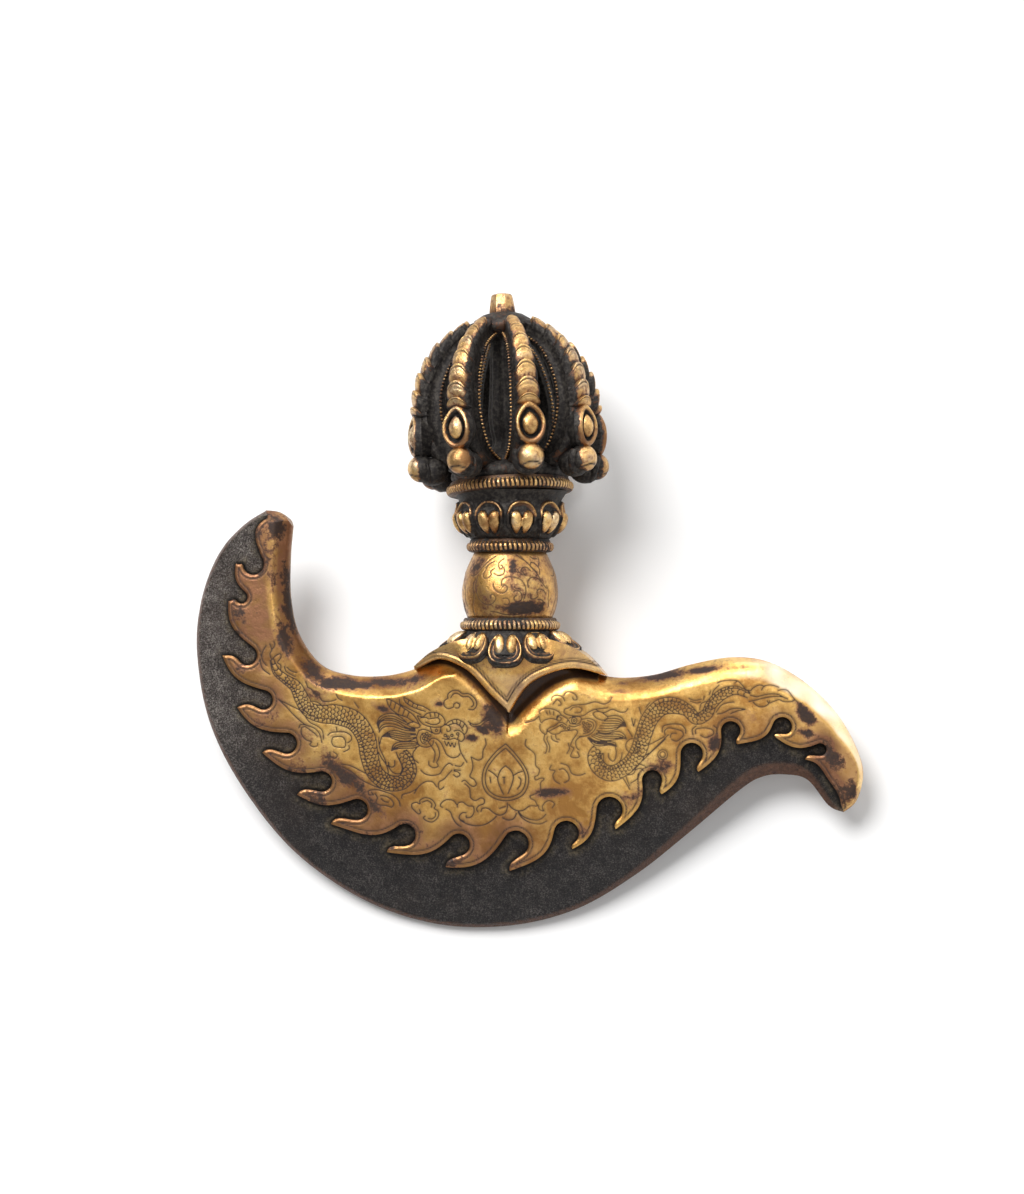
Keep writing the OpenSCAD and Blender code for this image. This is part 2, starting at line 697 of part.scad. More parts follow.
module prong(i) {
    back = concat([[foot_r, foot_z]], smooth(PRONG_BACK, 4));
    belly = smooth(PRONG_BELLY, 4);
    top = crown_top + 2;
    ball = vajra_point([24.4, 9]);
    hook = ball[0] - 4.4;
    boss = vajra_point([24.8, 17.6]);
    shoulder = vajra_point([0, 24])[1];
    color(DARK) vajra_frame() prong_facing(i) difference() {
        union() {
            intersection() {
                rotate([90, 0, 0]) linear_extrude(prong_w, center = true) polygon(concat(back, belly));
                rotate([90, 0, 90]) linear_extrude(2 * vajra_r) polygon([
                    [-prong_w / 2, 0], [prong_w / 2, 0], [prong_w / 2, shoulder], [prong_tip_w / 2, top],
                    [-prong_tip_w / 2, top], [-prong_w / 2, shoulder]
                ]);
            }
            // The ball, held by a curled snout
            translate([ball[0], 0, ball[1]]) sphere(ball_r, $fn = 32);
            intersection() {
                translate([hook, 0, ball[1]]) rotate([90, 0, 0])
                    rotate_extrude($fn = 32) translate([4.4, 0]) circle(1.5, $fn = 24);
                translate([hook - 10, -5, ball[1] - 10]) cube([20, 10, 10]);
            }
            // The oval boss with its bead
            for (z = [-1, 1])
                translate([boss[0] - 4, 0, boss[1] + z * (boss_h - boss_w) / 2])
                    rotate([0, 90, 0]) cylinder(h = 5.2, r = boss_w / 2, $fn = 32);
            translate([boss[0] - 4, -boss_w / 2, boss[1] - (boss_h - boss_w) / 2])
                cube([5.2, boss_w, boss_h - boss_w]);
            translate([boss[0] + 1.2, 0, boss[1]]) bead(boss_w * 0.5, boss_h * 0.7);
            for (k = [0:len(SCALES) - 1])
                let (s = vajra_point(SCALES[k]))
                translate([s[0], 0, s[1]]) rotate([0, 90 - SCALES[k][2], 0])
                    translate([0, 0, -1.5]) cylinder(h = 2.1, r = 2.9 - 0.28 * k, $fn = 24);
        }
        cylinder(h = 2 * top, r = tip_r + fit);
        // The foot is flat where it stands in the hub's slot
        translate([0, -prong_w, foot_z - 6]) cube([hub_d / 2 + 0.5, 2 * prong_w, 6]);
    }
}

module axial_prong() {
    knob_r = knob_d / 2;
    knob_top = crown_top + knob_h;
    color(DARK) vajra_frame() difference() {
        rotate_extrude() polygon(concat(
            [[0, washer_top + fit], [recess_r - fit, washer_top + fit], [recess_r - fit, hub_top]],
            [[foot_r - 0.6, hub_top], [foot_r - 0.8, hub_top + 1.4]],
            smooth(vajra_points([[5.4, 11.4], [4.6, 14], [6.2, 18], [6.4, 22], [5, 27], [4, 33]]), 3),
            [[knob_r, crown_z - 2], [knob_r, crown_top]],
            smooth([[knob_r, crown_top + 0.4], [knob_r * 0.88, knob_top - 2], [knob_r * 0.8, knob_top - 0.6]], 3),
            [[knob_r * 0.7, knob_top], [0, knob_top]]
        ));
        // Room for the peened end of the tang
        translate([0, 0, washer_top - 1]) cylinder(h = peen_h + 1.6, r = tang_r + 1.4);
    }
}

module crown() {
    color(DARK) vajra_frame() difference() {
        rotate_extrude() polygon([
            [0, crown_z], [tip_r + 0.8, crown_z], [tip_r + 2.6, crown_z + 1.4], [tip_r + 2.2, crown_top - 2.6],
            [knob_d / 2 + 1.4, crown_top], [0, crown_top]
        ]);
        translate([0, 0, crown_z - 1]) cylinder(h = vajra_h, r = knob_d / 2 + fit);
        for (i = [0:PRONG_COUNT - 1])
            prong_facing(i) translate([tip_r, -prong_tip_w / 2 - 0.4, crown_z - 1])
                cube([10, prong_tip_w + 0.8, vajra_h]);
    }
}

blade();
front_cheek();
rear_cheek();
cheek_pins();
yoke();
lower_lotus();
lower_ring();
grip_shell();
grip_core();
upper_ring();
upper_lotus();
top_ring();
vajra_hub();
tang_washer();
axial_prong();
crown();
prong(0);  // prong_1
prong(1);  // prong_2
prong(2);  // prong_3
prong(3);  // prong_4
prong(4);  // prong_5
prong(5);  // prong_6
prong(6);  // prong_7
prong(7);  // prong_8
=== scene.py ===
"""Kartika chopper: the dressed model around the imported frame. Its pieces are drawn in mm."""
import math

import bpy
import numpy as np
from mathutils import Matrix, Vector
from mathutils.geometry import delaunay_2d_cdt
from mathutils.kdtree import KDTree

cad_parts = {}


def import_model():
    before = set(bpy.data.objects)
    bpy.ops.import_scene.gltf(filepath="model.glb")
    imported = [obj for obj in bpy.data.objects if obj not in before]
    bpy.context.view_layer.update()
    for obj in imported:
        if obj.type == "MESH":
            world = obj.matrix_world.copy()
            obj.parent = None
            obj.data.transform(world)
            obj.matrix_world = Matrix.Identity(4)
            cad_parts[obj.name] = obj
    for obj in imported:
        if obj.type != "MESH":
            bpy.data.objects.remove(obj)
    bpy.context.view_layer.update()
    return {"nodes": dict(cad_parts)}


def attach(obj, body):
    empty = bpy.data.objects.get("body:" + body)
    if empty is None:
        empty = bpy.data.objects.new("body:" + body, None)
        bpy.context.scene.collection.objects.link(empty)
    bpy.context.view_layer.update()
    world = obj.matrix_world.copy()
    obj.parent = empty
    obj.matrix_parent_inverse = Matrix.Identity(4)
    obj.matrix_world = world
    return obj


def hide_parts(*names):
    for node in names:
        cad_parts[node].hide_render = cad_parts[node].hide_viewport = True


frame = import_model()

MM = 0.001

# ---------------------------------------------------------------- outlines

EDGE = [
    (-66.5, 20.4), (-73, 16.2), (-79.6, 8.6), (-84.3, -3.5), (-85.6, -18), (-82.3, -36.5),
    (-73.6, -54), (-59, -72), (-40, -85), (-20, -91.5), (0, -91.8), (18, -87.2), (34, -77.8),
    (48, -66.7), (62, -54.9), (68, -51.4), (74, -50.8), (80, -52.2), (85.6, -59), (89.6, -60.8),
]
BACK_TAIL = [
    (89.6, -60.8), (93, -57.8), (94.8, -51), (93.2, -44), (88, -34.7), (80, -26.6), (70, -20.8),
    (60, -19.4), (49, -21.3), (38, -24.3), (27, -24.7), (18, -21.2), (10, -18.6),
]
BACK_HORN = [
    (-11, -18.2), (-18, -18.9), (-22, -20.4), (-26.5, -22.9), (-34, -24.5), (-43, -24.4),
    (-51.4, -21.6), (-57.6, -13.2), (-59.9, -3), (-59.9, 8), (-59.2, 16),
]
HORN_CAP = [(-59.2, 16), (-60.6, 18.3), (-63.2, 20), (-66.5, 20.4)]
HORN_END = [(-57, 18), (-69, 21.2)]
# Each flame: its tip, the middle and radius of the bay after it, and its belly's swell
FLAMES = [
    (-65.5, 18.2, -69.4, 5.8, 3, 0.24), (-74.2, 5.8, -72.7, -3.2, 1.8, 0),
    (-76.2, -4.3, -71.1, -18.9, 2.8, 0), (-77.9, -19.1, -66.7, -31, 2.7, -0.04),
    (-73.9, -33.1, -60.3, -42.7, 2.9, -0.04), (-67, -45.3, -50.6, -53, 2.8, -0.07),
    (-57.5, -56.6, -41, -60.5, 2.9, -0.08), (-48.3, -64.5, -28.1, -67.3, 3, -0.08),
    (-33, -72, -13.4, -69.8, 3, -0.05), (-17, -75.9, 2, -69.4, 3.5, 0.02),
    (0.3, -76.8, 15.6, -66.6, 3.4, 0), (17.2, -70.8, 27.2, -60.2, 3.5, 0),
    (28.9, -65.4, 38.6, -52.2, 2.7, 0), (41.2, -56, 49.2, -45.2, 3, 0),
    (51, -50, 59.6, -39, 2.6, 0), (61.4, -42.6, 73.3, -37.9, 2.6, 0),
    (71.4, -40.6, 83.4, -44, 1.7, 0),
]
TAIL_FLAME = [(79.4, -46.6), (82.6, -47.9), (85.6, -52), (88.2, -56), (89, -59)]
# Where the mount bulges out from under the yoke, from the horn side to the tail side
LOBES = [
    (-27, -22.4), (-20, -20.8), (-16, -21), (-12, -23.2), (-8, -26.4), (-4, -31), (-1, -35),
    (0.6, -36.6), (3, -34), (6, -31), (10, -27.5), (14, -25.4), (18, -24.4), (22, -24.8), (28, -25.6),
]

# The blade's and the mount's half thickness fall away from the middle of the grip
THICK, THIN = 16, 4.8
NEAR, FAR = 34.2, math.hypot(*EDGE[-1])
SLOPE = (THICK - THIN) / 2 / (FAR - NEAR)
MOUNT_MID = THICK / 2 + SLOPE * NEAR
# A cheek's thickness over the blade, the blade's least half thickness there, and the mount's
# half thickness at its very back
CHEEK = 1.8
LEAST = THIN / 2 - CHEEK * 0.7
LAND = 1.6
# The tang's heights and radius, and the bore that it runs in
TANG = (-27, -10, 10, 23)
TANG_R, BORE_R = 3.45, 3.55


def smooth(points, n):
    """A smooth curve through the points, with n steps between each two."""
    p = np.array(points, float)
    out = []
    for i in range(len(p) - 1):
        a, b, c, d = p[max(i - 1, 0)], p[i], p[i + 1], p[min(i + 2, len(p) - 1)]
        for t in np.arange(n) / n:
            out.append(
                (2 * t**3 - 3 * t * t + 1) * b + (3 * t * t - 2 * t**3) * c
                + (t**3 - 2 * t * t + t) * (c - a) / 2 + (t**3 - t * t) * (d - b) / 2
            )
    return np.array(out + [p[-1]])


def bezier(a, b, c, d, n):
    t = (np.arange(n) / n)[:, None]
    return (1 - t) ** 3 * a + 3 * (1 - t) ** 2 * t * b + 3 * (1 - t) * t * t * c + t**3 * d


def flame(row, following):
    """The edge of one flame: belly, bay and the crest that ends at the next tip."""
    tip, bay, r, swell = np.array(row[:2]), np.array(row[2:4]), row[4], row[5]
    nxt = np.array(following[:2])
    t = (nxt - tip) / np.linalg.norm(nxt - tip)
    n = np.array([-t[1], t[0]])

    def ring(deg):
        return bay + r * (math.cos(math.radians(deg)) * t + math.sin(math.radians(deg)) * n)

    def heading(deg):
        return math.sin(math.radians(deg)) * t - math.cos(math.radians(deg)) * n

    start, end = ring(150), ring(-45)
    reach, crest = np.linalg.norm(start - tip), np.linalg.norm(nxt - end)
    swollen = tip + reach * (0.45 * t - swell * n)
    belly = bezier(tip, swollen, start - 0.45 * reach * heading(150), start, 12)
    arc = [ring(150 - 195 * j / 14) for j in range(14)]
    rise = bezier(end, end + 0.4 * crest * heading(-45), nxt + crest * (0.4 * n - 0.12 * t), nxt, 8)
    return np.vstack([belly, arc, rise])


def even(line, step, closed=False):
    """The same line with a point at least every step, its own corners kept."""
    line = np.array(line, float)
    ends = np.roll(line, -1, axis=0) if closed else line[1:]
    out = []
    for a, b in zip(line, ends):
        n = max(1, math.ceil(np.linalg.norm(b - a) / step))
        out += [a + (b - a) * k / n for k in range(n)]
    return np.array(out if closed else out + [line[-1]])


flame_edge = np.vstack(
    [flame(f, FLAMES[i + 1] if i + 1 < len(FLAMES) else TAIL_FLAME[0]) for i, f in enumerate(FLAMES)]
    + [smooth(TAIL_FLAME, 6)]
)
back_tail, back_horn, horn_cap = smooth(BACK_TAIL, 8), smooth(BACK_HORN, 8), smooth(HORN_CAP, 6)
edge_line = smooth(EDGE, 8)
lobes = smooth(LOBES, 6)

# ---------------------------------------------------------------- meshes from outlines


def inside(points, loop):
    """Which points lie in a closed loop."""
    x, y = points[:, 0], points[:, 1]
    hit = np.zeros(len(points), bool)
    for (x0, y0), (x1, y1) in zip(loop, np.roll(loop, -1, axis=0)):
        if y0 != y1:
            hit ^= ((y0 > y) != (y1 > y)) & (x < (x1 - x0) * (y - y0) / (y1 - y0) + x0)
    return hit


def tree(samples):
    """A search tree over points of the plane."""
    t = KDTree(len(samples))
    for i, s in enumerate(samples):
        t.insert((s[0], s[1], 0), i)
    t.balance()
    return t


def distance(points, samples):
    """How far each point is from the nearest sample."""
    t = samples if isinstance(samples, KDTree) else tree(samples)
    return np.array([t.find((x, y, 0))[2] for x, y in points.tolist()])


def thin(points, gap):
    """Leaves one point in each cell of a grid."""
    cells = np.round(points / gap).astype(int)
    return points[np.sort(np.unique(cells, axis=0, return_index=True)[1])]


def fill(loop, spacing, detail=None):
    """Triangles inside a closed loop. Gives the points, the triangles and the loop's indices.
    Inside lie an even grid of triangles and the detail points, which the grid keeps clear of."""
    n = len(loop)
    points = loop
    if spacing:
        lo, hi = loop.min(0), loop.max(0)
        rows = np.arange(lo[1], hi[1], spacing * 0.866)
        grid = np.vstack([
            np.column_stack([xs, np.full(len(xs), z)])
            for k, z in enumerate(rows)
            for xs in [np.arange(lo[0] + (k % 2) * spacing / 2, hi[0], spacing)]
        ])
        grid = grid[inside(grid, loop)]
        rim_tree = tree(even(loop, spacing / 2, True))
        grid = grid[distance(grid, rim_tree) > spacing * 0.5]
        if detail is not None:
            detail = detail[inside(detail, loop)]
            detail = detail[distance(detail, rim_tree) > 0.3]
            grid = np.vstack([grid[distance(grid, detail) > 0.24], detail])
        points = np.vstack([loop, grid])
    rim = [(i, (i + 1) % n) for i in range(n)]
    v, _, f, source, _, _ = delaunay_2d_cdt([Vector(p) for p in points], rim, [], 1, 1e-6)
    v = np.array([tuple(p) for p in v])
    where = {}
    for i, s in enumerate(source):
        for k in s:
            where[k] = i
    f = np.array([list(t) for t in f])
    a, b, c = v[f[:, 0]], v[f[:, 1]], v[f[:, 2]]
    area = (b[:, 0] - a[:, 0]) * (c[:, 1] - a[:, 1]) - (b[:, 1] - a[:, 1]) * (c[:, 0] - a[:, 0])
    f[area < 0] = f[area < 0][:, ::-1]
    f = f[np.abs(area) > 1e-9]
    return v, f, [where[i] for i in range(n)]


def relief(loop, spacing, top, bottom=None, detail=None):
    """A closed solid over a loop in the XZ plane. Its front is at y = -top; its rear is at
    y = -bottom, or mirrors the front."""
    flat, tris, rim = fill(loop, spacing, detail)
    p = flat[rim]
    q = np.roll(p, -1, axis=0)
    if (p[:, 0] * q[:, 1] - q[:, 0] * p[:, 1]).sum() < 0:
        rim = rim[::-1]
    front = np.column_stack([flat[:, 0], -top(flat), flat[:, 1]])
    if bottom is None:
        rear, tris2, rim2 = front * (1, -1, 1), tris, rim
    else:
        flat2, tris2, rim2 = fill(flat[rim], None)
        rear = np.column_stack([flat2[:, 0], -bottom(flat2), flat2[:, 1]])
    n = len(front)
    faces = [tuple(t) for t in tris] + [tuple(n + t[::-1]) for t in tris2]
    wall = zip(rim, np.roll(rim, -1), np.roll(rim2, -1), rim2)
    faces += [(a, n + d, n + c, b) for a, b, c, d in wall]
    return np.vstack([front, rear]), faces


def lathe(profile, n, warp=None):
    """Turns a closed profile of (r, z) about Z. warp gets the angle from the front towards +X,
    the profile's index and (r, z), all as arrays, and gives the new (r, z). Gives the vertices
    and faces, and each vertex's angle and index."""
    profile = np.array(profile, float)
    m = len(profile)
    a, k = np.meshgrid(around(n), np.arange(m), indexing="ij")
    r, z = profile[k, 0], profile[k, 1]
    if warp:
        r, z = warp(a, k, r, z)
    i, i2 = np.arange(n)[:, None] * m, np.roll(np.arange(n), -1)[:, None] * m
    j, j2 = np.arange(m), np.roll(np.arange(m), -1)
    faces = np.column_stack([(p + q).ravel() for p, q in ((i, j), (i2, j), (i2, j2), (i, j2))])
    return turned(a, r, z), faces.tolist(), a.ravel(), k.ravel()


def around(n):
    """The angles of n steps round a circle."""
    return np.arange(n) * 2 * math.pi / n


def turned(a, r, z):
    """Points at the angle a from the front towards +X and the radius r, as rows of x, y, z."""
    return np.column_stack([np.ravel(r * np.sin(a)), np.ravel(-r * np.cos(a)), np.ravel(z)])


def sheet(rows, cols, wrap=False):
    """Quads over a grid of vertices, row by row; wrap joins the last column to the first."""
    return [
        (i + j, i + (j + 1) % cols, i + cols + (j + 1) % cols, i + cols + j)
        for i in range(0, (rows - 1) * cols, cols)
        for j in range(cols if wrap else cols - 1)
    ]


def spindle(rows, cols):
    """Faces of a round sheet that two more points close, the first's before the last's."""
    n = rows * cols
    last = n - cols
    first_end = [(n, (j + 1) % cols, j) for j in range(cols)]
    last_end = [(n + 1, last + j, last + (j + 1) % cols) for j in range(cols)]
    return sheet(rows, cols, True) + first_end + last_end


def barrel(rows, cols):
    """Faces of a round sheet with two flat ends."""
    n = rows * cols
    return sheet(rows, cols, True) + [tuple(range(cols))[::-1], tuple(range(n - cols, n))]


def slab(rows, cols):
    """Faces of a plate: a sheet, the same number of points behind it and the rim between."""
    n = rows * cols
    front = sheet(rows, cols)
    rim = [*range(cols), *range(2 * cols - 1, n, cols), *range(n - 2, n - cols - 1, -1),
           *range(n - 2 * cols, 0, -cols)]
    back = [tuple(n + k for k in f[::-1]) for f in front]
    return front + back + [(a, n + a, n + b, b) for a, b in zip(rim, rim[1:] + rim[:1])]


def tube(path, radii, sides):
    """A round bar along a path, closed at its ends."""
    path, rings = np.array(path, float), []
    up = None
    for i, p in enumerate(path):
        d = path[min(i + 1, len(path) - 1)] - path[max(i - 1, 0)]
        d /= np.linalg.norm(d)
        if up is None:
            up = np.cross(d, (0, 1, 0) if abs(d[1]) < 0.9 else (1, 0, 0))
        up -= d * np.dot(up, d)
        up /= np.linalg.norm(up)
        side = np.cross(d, up)
        a = around(sides)
        rings.append(p + radii[i] * (np.outer(np.cos(a), up) + np.outer(np.sin(a), side)))
    return np.vstack(rings + [path[:1], path[-1:]]), spindle(len(path), sides)


def dome(centre, radii, rows, cols):
    """A ball or ellipsoid with its poles on Z."""
    p, a = np.meshgrid(math.pi * np.arange(1, rows) / rows, around(cols), indexing="ij")
    ball = np.sin(p) * np.cos(a), np.sin(p) * np.sin(a), np.cos(p)
    ball = np.vstack([np.column_stack([v.ravel() for v in ball]), [(0, 0, 1), (0, 0, -1)]])
    return ball * radii + centre, spindle(rows - 1, cols)


# Three looks for each vertex: how gilt it is, where over 1 a painted glare; how much dirt and painted
# shade lie on it; and how brown it is, on the blade a painted sheen
LOOKS = ("gild", "dirt_and_shade", "brown")
PLAIN = (1.0, 0.0, 0.0)
HIDDEN = (0.1, 0.8, 0.0)


class Parts:
    """Gathers closed shells into one mesh."""

    def __init__(self, *shell):
        self.verts, self.faces, self.looks, self.n = [], [], [[], [], []], 0
        if shell:
            self.add(*shell)

    def add(self, verts, faces, *looks):
        """Adds one shell and turns its faces outward. A look is one number or an array; where
        an array has too few values, the last vertices are hidden ones."""
        fan = np.array([(f[0], f[i], f[i + 1]) for f in faces for i in range(1, len(f) - 1)])
        a, b, c = (verts[fan[:, i]] for i in range(3))
        if np.einsum("ij,ij->", a, np.cross(b, c)) < 0:
            faces = [f[::-1] for f in faces]
        self.verts.append(verts)
        self.faces += [tuple(int(k) + self.n for k in f) for f in faces]
        for kept, look, rest in zip(self.looks, looks + PLAIN[len(looks):], HIDDEN):
            look = np.full(len(verts), look) if np.ndim(look) == 0 else np.ravel(look)
            kept.append(np.append(look, np.full(len(verts) - len(look), rest)))
        self.n += len(verts)


def piece(name, parts, material, node, sharp, placed=None):
    """Makes the object of a node from its gathered shells."""
    verts = np.vstack(parts.verts)
    if placed is not None:
        verts = placed(verts)
    mesh = bpy.data.meshes.new(name)
    mesh.from_pydata((verts * MM).tolist(), [], parts.faces)
    mesh.validate()
    for key, values in zip(LOOKS, parts.looks):
        at = mesh.attributes.new(key, "FLOAT", "POINT")
        at.data.foreach_set("value", np.concatenate(values).astype(np.float32))
    mesh.shade_smooth()
    mesh.set_sharp_from_angle(angle=math.radians(sharp))
    o = shown(name, mesh)
    mesh.materials.append(material)
    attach(o, "root")
    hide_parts(node)


def shown(name, data):
    """A new object in the scene."""
    o = bpy.data.objects.new(name, data)
    bpy.context.scene.collection.objects.link(o)
    return o


def step(x, lo, hi):
    """Rises softly from 0 at lo to 1 at hi."""
    t = np.clip((x - lo) / (hi - lo), 0, 1)
    return t * t * (3 - 2 * t)


def bump(x):
    """A soft hill: 1 at 0, 0 from 1 out."""
    return step(1 - np.abs(x), 0, 1)


def bell(x):
    """A rounder hill: 1 at 0, with no end."""
    return np.exp(-x * x)


def ripples(p, seed, size):
    """Smooth uneven values of about -1 to 1 over the plane, for hand-beaten surfaces."""
    rng = np.random.default_rng(seed)
    out = np.zeros(len(p))
    for _ in range(9):
        a, ph = rng.uniform(0, 2 * math.pi), rng.uniform(0, 2 * math.pi)
        k = 2 * math.pi / (size * rng.uniform(0.7, 1.6))
        out += np.sin(k * (p[:, 0] * math.cos(a) + p[:, 1] * math.sin(a)) + ph)
    return out / 4


# ---------------------------------------------------------------- materials


class Value:
    """An output of a shader node; sums and products with it make math nodes."""

    def __init__(self, k, node, out):
        self.k, self.node, self.socket = k, node, node.outputs[out]

    def of(self, op, a, b=0.0):
        return self.k.add("ShaderNodeMath", {0: a, 1: b}, operation=op)

    def __add__(self, other):
        return self.of("ADD", self, other)

    def __sub__(self, other):
        return self.of("SUBTRACT", self, other)

    def __rsub__(self, other):
        return self.of("SUBTRACT", other, self)

    def __mul__(self, other):
        return self.of("MULTIPLY", self, other)

    def most(self, other):
        return self.of("MAXIMUM", self, other)

    def least(self, other):
        return self.of("MINIMUM", self, other)

    def clip(self):
        """Holds this math node between 0 and 1."""
        self.node.use_clamp = True
        return self

    def other(self, out):
        """Another output of the same node."""
        return Value(self.k, self.node, out)


def linear(colour):
    """The linear values of a screen colour such as b98e45."""
    c = [int(colour[i:i + 2], 16) / 255 for i in (0, 2, 4)]
    return tuple(v / 12.92 if v <= 0.04045 else ((v + 0.055) / 1.055) ** 2.4 for v in c)


class Nodes:
    """The nodes of a material or of the world. Colours are given as screen colours."""

    def __init__(self, tree):
        self.tree = tree
        tree.nodes.clear()

    def add(self, kind, inputs={}, out=0, **settings):
        n = self.tree.nodes.new(kind)
        for key, v in settings.items():
            setattr(n, key, v)
        for key, v in inputs.items():
            if isinstance(v, Value):
                self.tree.links.new(v.socket, n.inputs[key])
            else:
                n.inputs[key].default_value = (*linear(v), 1) if isinstance(v, str) else v
        return Value(self, n, out) if n.outputs else n

    def noise(self, scale, detail, rough=0.55, warp=0.0):
        inputs = {"Scale": scale, "Detail": detail, "Roughness": rough, "Distortion": warp}
        return self.add("ShaderNodeTexNoise", {"Vector": self.place, **inputs}, "Fac")

    def look(self, name):
        return self.add("ShaderNodeAttribute", out="Fac", attribute_name=name)

    def ramp(self, value, stops):
        """Colours, or greys as numbers, at places from 0 to 1."""
        ramp = self.add("ShaderNodeValToRGB", {0: value})
        e = ramp.node.color_ramp.elements
        e[0].position, e[-1].position = stops[0][0], stops[-1][0]
        for place, _ in stops[1:-1]:
            e.new(place)
        for stop, (_, colour) in zip(e, stops):
            stop.color = (*(linear(colour) if isinstance(colour, str) else [colour] * 3), 1)
        return ramp

    def mix(self, share, a, b):
        return self.add("ShaderNodeMix", {0: share, 6: a, 7: b}, 2, data_type="RGBA")

    def blend(self, value, lo, hi):
        return self.add("ShaderNodeMapRange", {0: value, 3: lo, 4: hi})

    def surface(self, colour, metallic, rough, height=None, strength=1.0, deep=0.0):
        inputs = {"Base Color": colour, "Metallic": metallic, "Roughness": rough}
        if height:
            relief = {"Strength": strength, "Distance": deep, "Height": height}
            inputs["Normal"] = self.add("ShaderNodeBump", relief)
        return self.add("ShaderNodeBsdfPrincipled", inputs)

    def end(self, shader, kind="ShaderNodeOutputMaterial"):
        self.add(kind, {0: shader})


def material(name):
    m = bpy.data.materials.new(name)
    m.use_nodes = True
    k = Nodes(m.node_tree)
    k.place = k.add("ShaderNodeNewGeometry", out="Position")
    return m, k


def antique(name, colours, glint, cover, rough, pits, metal_dark):
    """Worn gilding over a dark ground. The colours are the gilding's bright, middle and dull
    one and the ground's; glint is the ground's lighter one. cover is how much gilding is left
    where gild is 1, and what gild has over 1 is a painted glare, pale gilding for a highlight."""
    bright, mid, dull, dark = colours.split()
    m, k = material(name)
    broad = k.noise(38, 5, 0.6, 0.4)
    patch = k.noise(170, 7, 0.68, 0.3)
    fine = k.noise(900, 5, 0.7)
    grain = k.noise(3200, 3, 0.7)
    lost = 1.0 - k.look("gild")
    worn = lost + (broad - 0.5) + (patch - 0.5) * 1.6 + (fine - 0.5) * 0.8
    rubbed = (k.look("brown") * k.blend(patch, 0.2, 1.8)).clip()
    tarnish = ((worn - (cover - 0.36)) * 2.4).clip().most(rubbed)
    worn = ((worn - cover) * 6.0).clip()
    # This look lays the dark ground over the gilding: dirt in cuts and hollows, and painted shade in the
    # groove under the yoke
    dirt_and_shade = (k.look("dirt_and_shade") * k.blend(patch, 0.8, 1.5)).clip()
    ground = worn.most(dirt_and_shade).clip()
    gold = k.ramp(broad * 0.55 + patch * 0.45, [(0.41, dull), (0.5, mid), (0.59, bright)])
    gold = k.mix(((fine - 0.52) * 3.2).clip(), gold, dull)
    gold = k.mix(tarnish, gold, k.mix(((patch - 0.34) * 3.0).clip(), "5e3f31", "9c7052"))
    # Painted glare: where gild is over 1 the gilding turns near white, as a highlight would
    gold = k.mix((lost * -1.0).clip(), gold, "fff2da")
    colour = k.mix(ground, gold, k.mix(((fine - 0.45) * 4.5).clip(), dark, glint))
    rugged = k.blend(ground, rough, 0.5) + (fine - 0.5) * 0.35 + tarnish * 0.08
    height = patch * 0.6 + fine * 0.35 + grain * 0.1 - worn * 0.12
    k.end(k.surface(colour, k.blend(ground, 1.0, metal_dark), rugged, height, pits, 0.0004))
    return m


GILT = antique("worn_gilding", "efc87e d6a961 a4763f 2b1a14", "3f2a18", 0.45, 0.32, 0.5, 0.3)
GRIP = antique("grip_gilding", "efc982 d3a55f a3764a 2a1b15", "3f2b1c", 0.4, 0.3, 0.5, 0.3)
DARK = antique("dark_gilt_iron", "fff0c8 e6bd7c 8e6842 1d1918", "4c4741", 0.38, 0.3, 1.0, 0.6)


def blade_iron():
    """Pitted iron. Its gild marks the ground edge; its dirt look marks the corroded bays and,
    nearest the mount's flames, a painted shadow; its brown look is a painted sheen with pale flecks."""
    m, k = material("forged_iron")
    broad, patch, fine = k.noise(30, 5, 0.6), k.noise(260, 8, 0.75, 0.2), k.noise(1100, 6, 0.7)
    grain = k.noise(2600, 4, 0.7)
    pits = patch * 0.3 + grain * 0.7
    stone = k.ramp(pits, [(0.38, "100f0f"), (0.5, "272424"), (0.64, "635d5a")])
    # Painted sheen: a lighter iron with pale flecks for highlights, where the brown look is set
    painted_sheen = k.ramp(pits, [(0.38, "2a2523"), (0.5, "655d58"), (0.64, "c4bab1")])
    stone = k.mix(k.look("brown") * 0.8, stone, painted_sheen)
    stone = k.mix(((broad - 0.5) * 1.5).clip(), stone, "4a3a30")
    edge = (k.look("gild") * k.blend(patch, 0.75, 1.2)).clip()
    colour = k.mix(edge, stone, k.ramp(fine, [(0.35, "432c22"), (0.65, "74503b")]))
    bay = k.look("dirt_and_shade")
    rust = (bay * ((patch - 0.44) * 6.0).clip()).clip()
    colour = k.mix(rust, colour, k.ramp(fine, [(0.38, "37332a"), (0.62, "8d7f63")]))
    # Painted shadow: near black right under the mount's flame edge
    colour = k.mix(((bay - 0.66) * 3.4).clip(), colour, "0a0807")
    height = patch + (fine * 1.1 + grain * 0.3)
    k.end(k.surface(colour, 0.35, k.blend(grain, 0.26, 0.56), height, 1.0, 0.0014))
    return m


IRON = blade_iron()

# ---------------------------------------------------------------- engraving


def normals(line):
    """The way into the metal along a line that keeps the metal on its left."""
    d = np.gradient(line, axis=0)
    d /= np.linalg.norm(d, axis=1)[:, None]
    return np.column_stack([-d[:, 1], d[:, 0]])


def strokes(text):
    """Reads one engraved line per row, its points as x,z in mm."""
    rows = text.strip().split("\n")
    return [np.array([[float(v) for v in p.split(",")] for p in row.split()]) for row in rows]


def lengths(line):
    """How far along a line each of its points lies."""
    return np.append(0, np.cumsum(np.linalg.norm(np.diff(line[:, :2], axis=0), axis=1)))


def along(places, s, line):
    """The points of a line, or of any columns that go with it, at the given lengths."""
    return np.stack([np.interp(places, s, column) for column in line.T], -1)


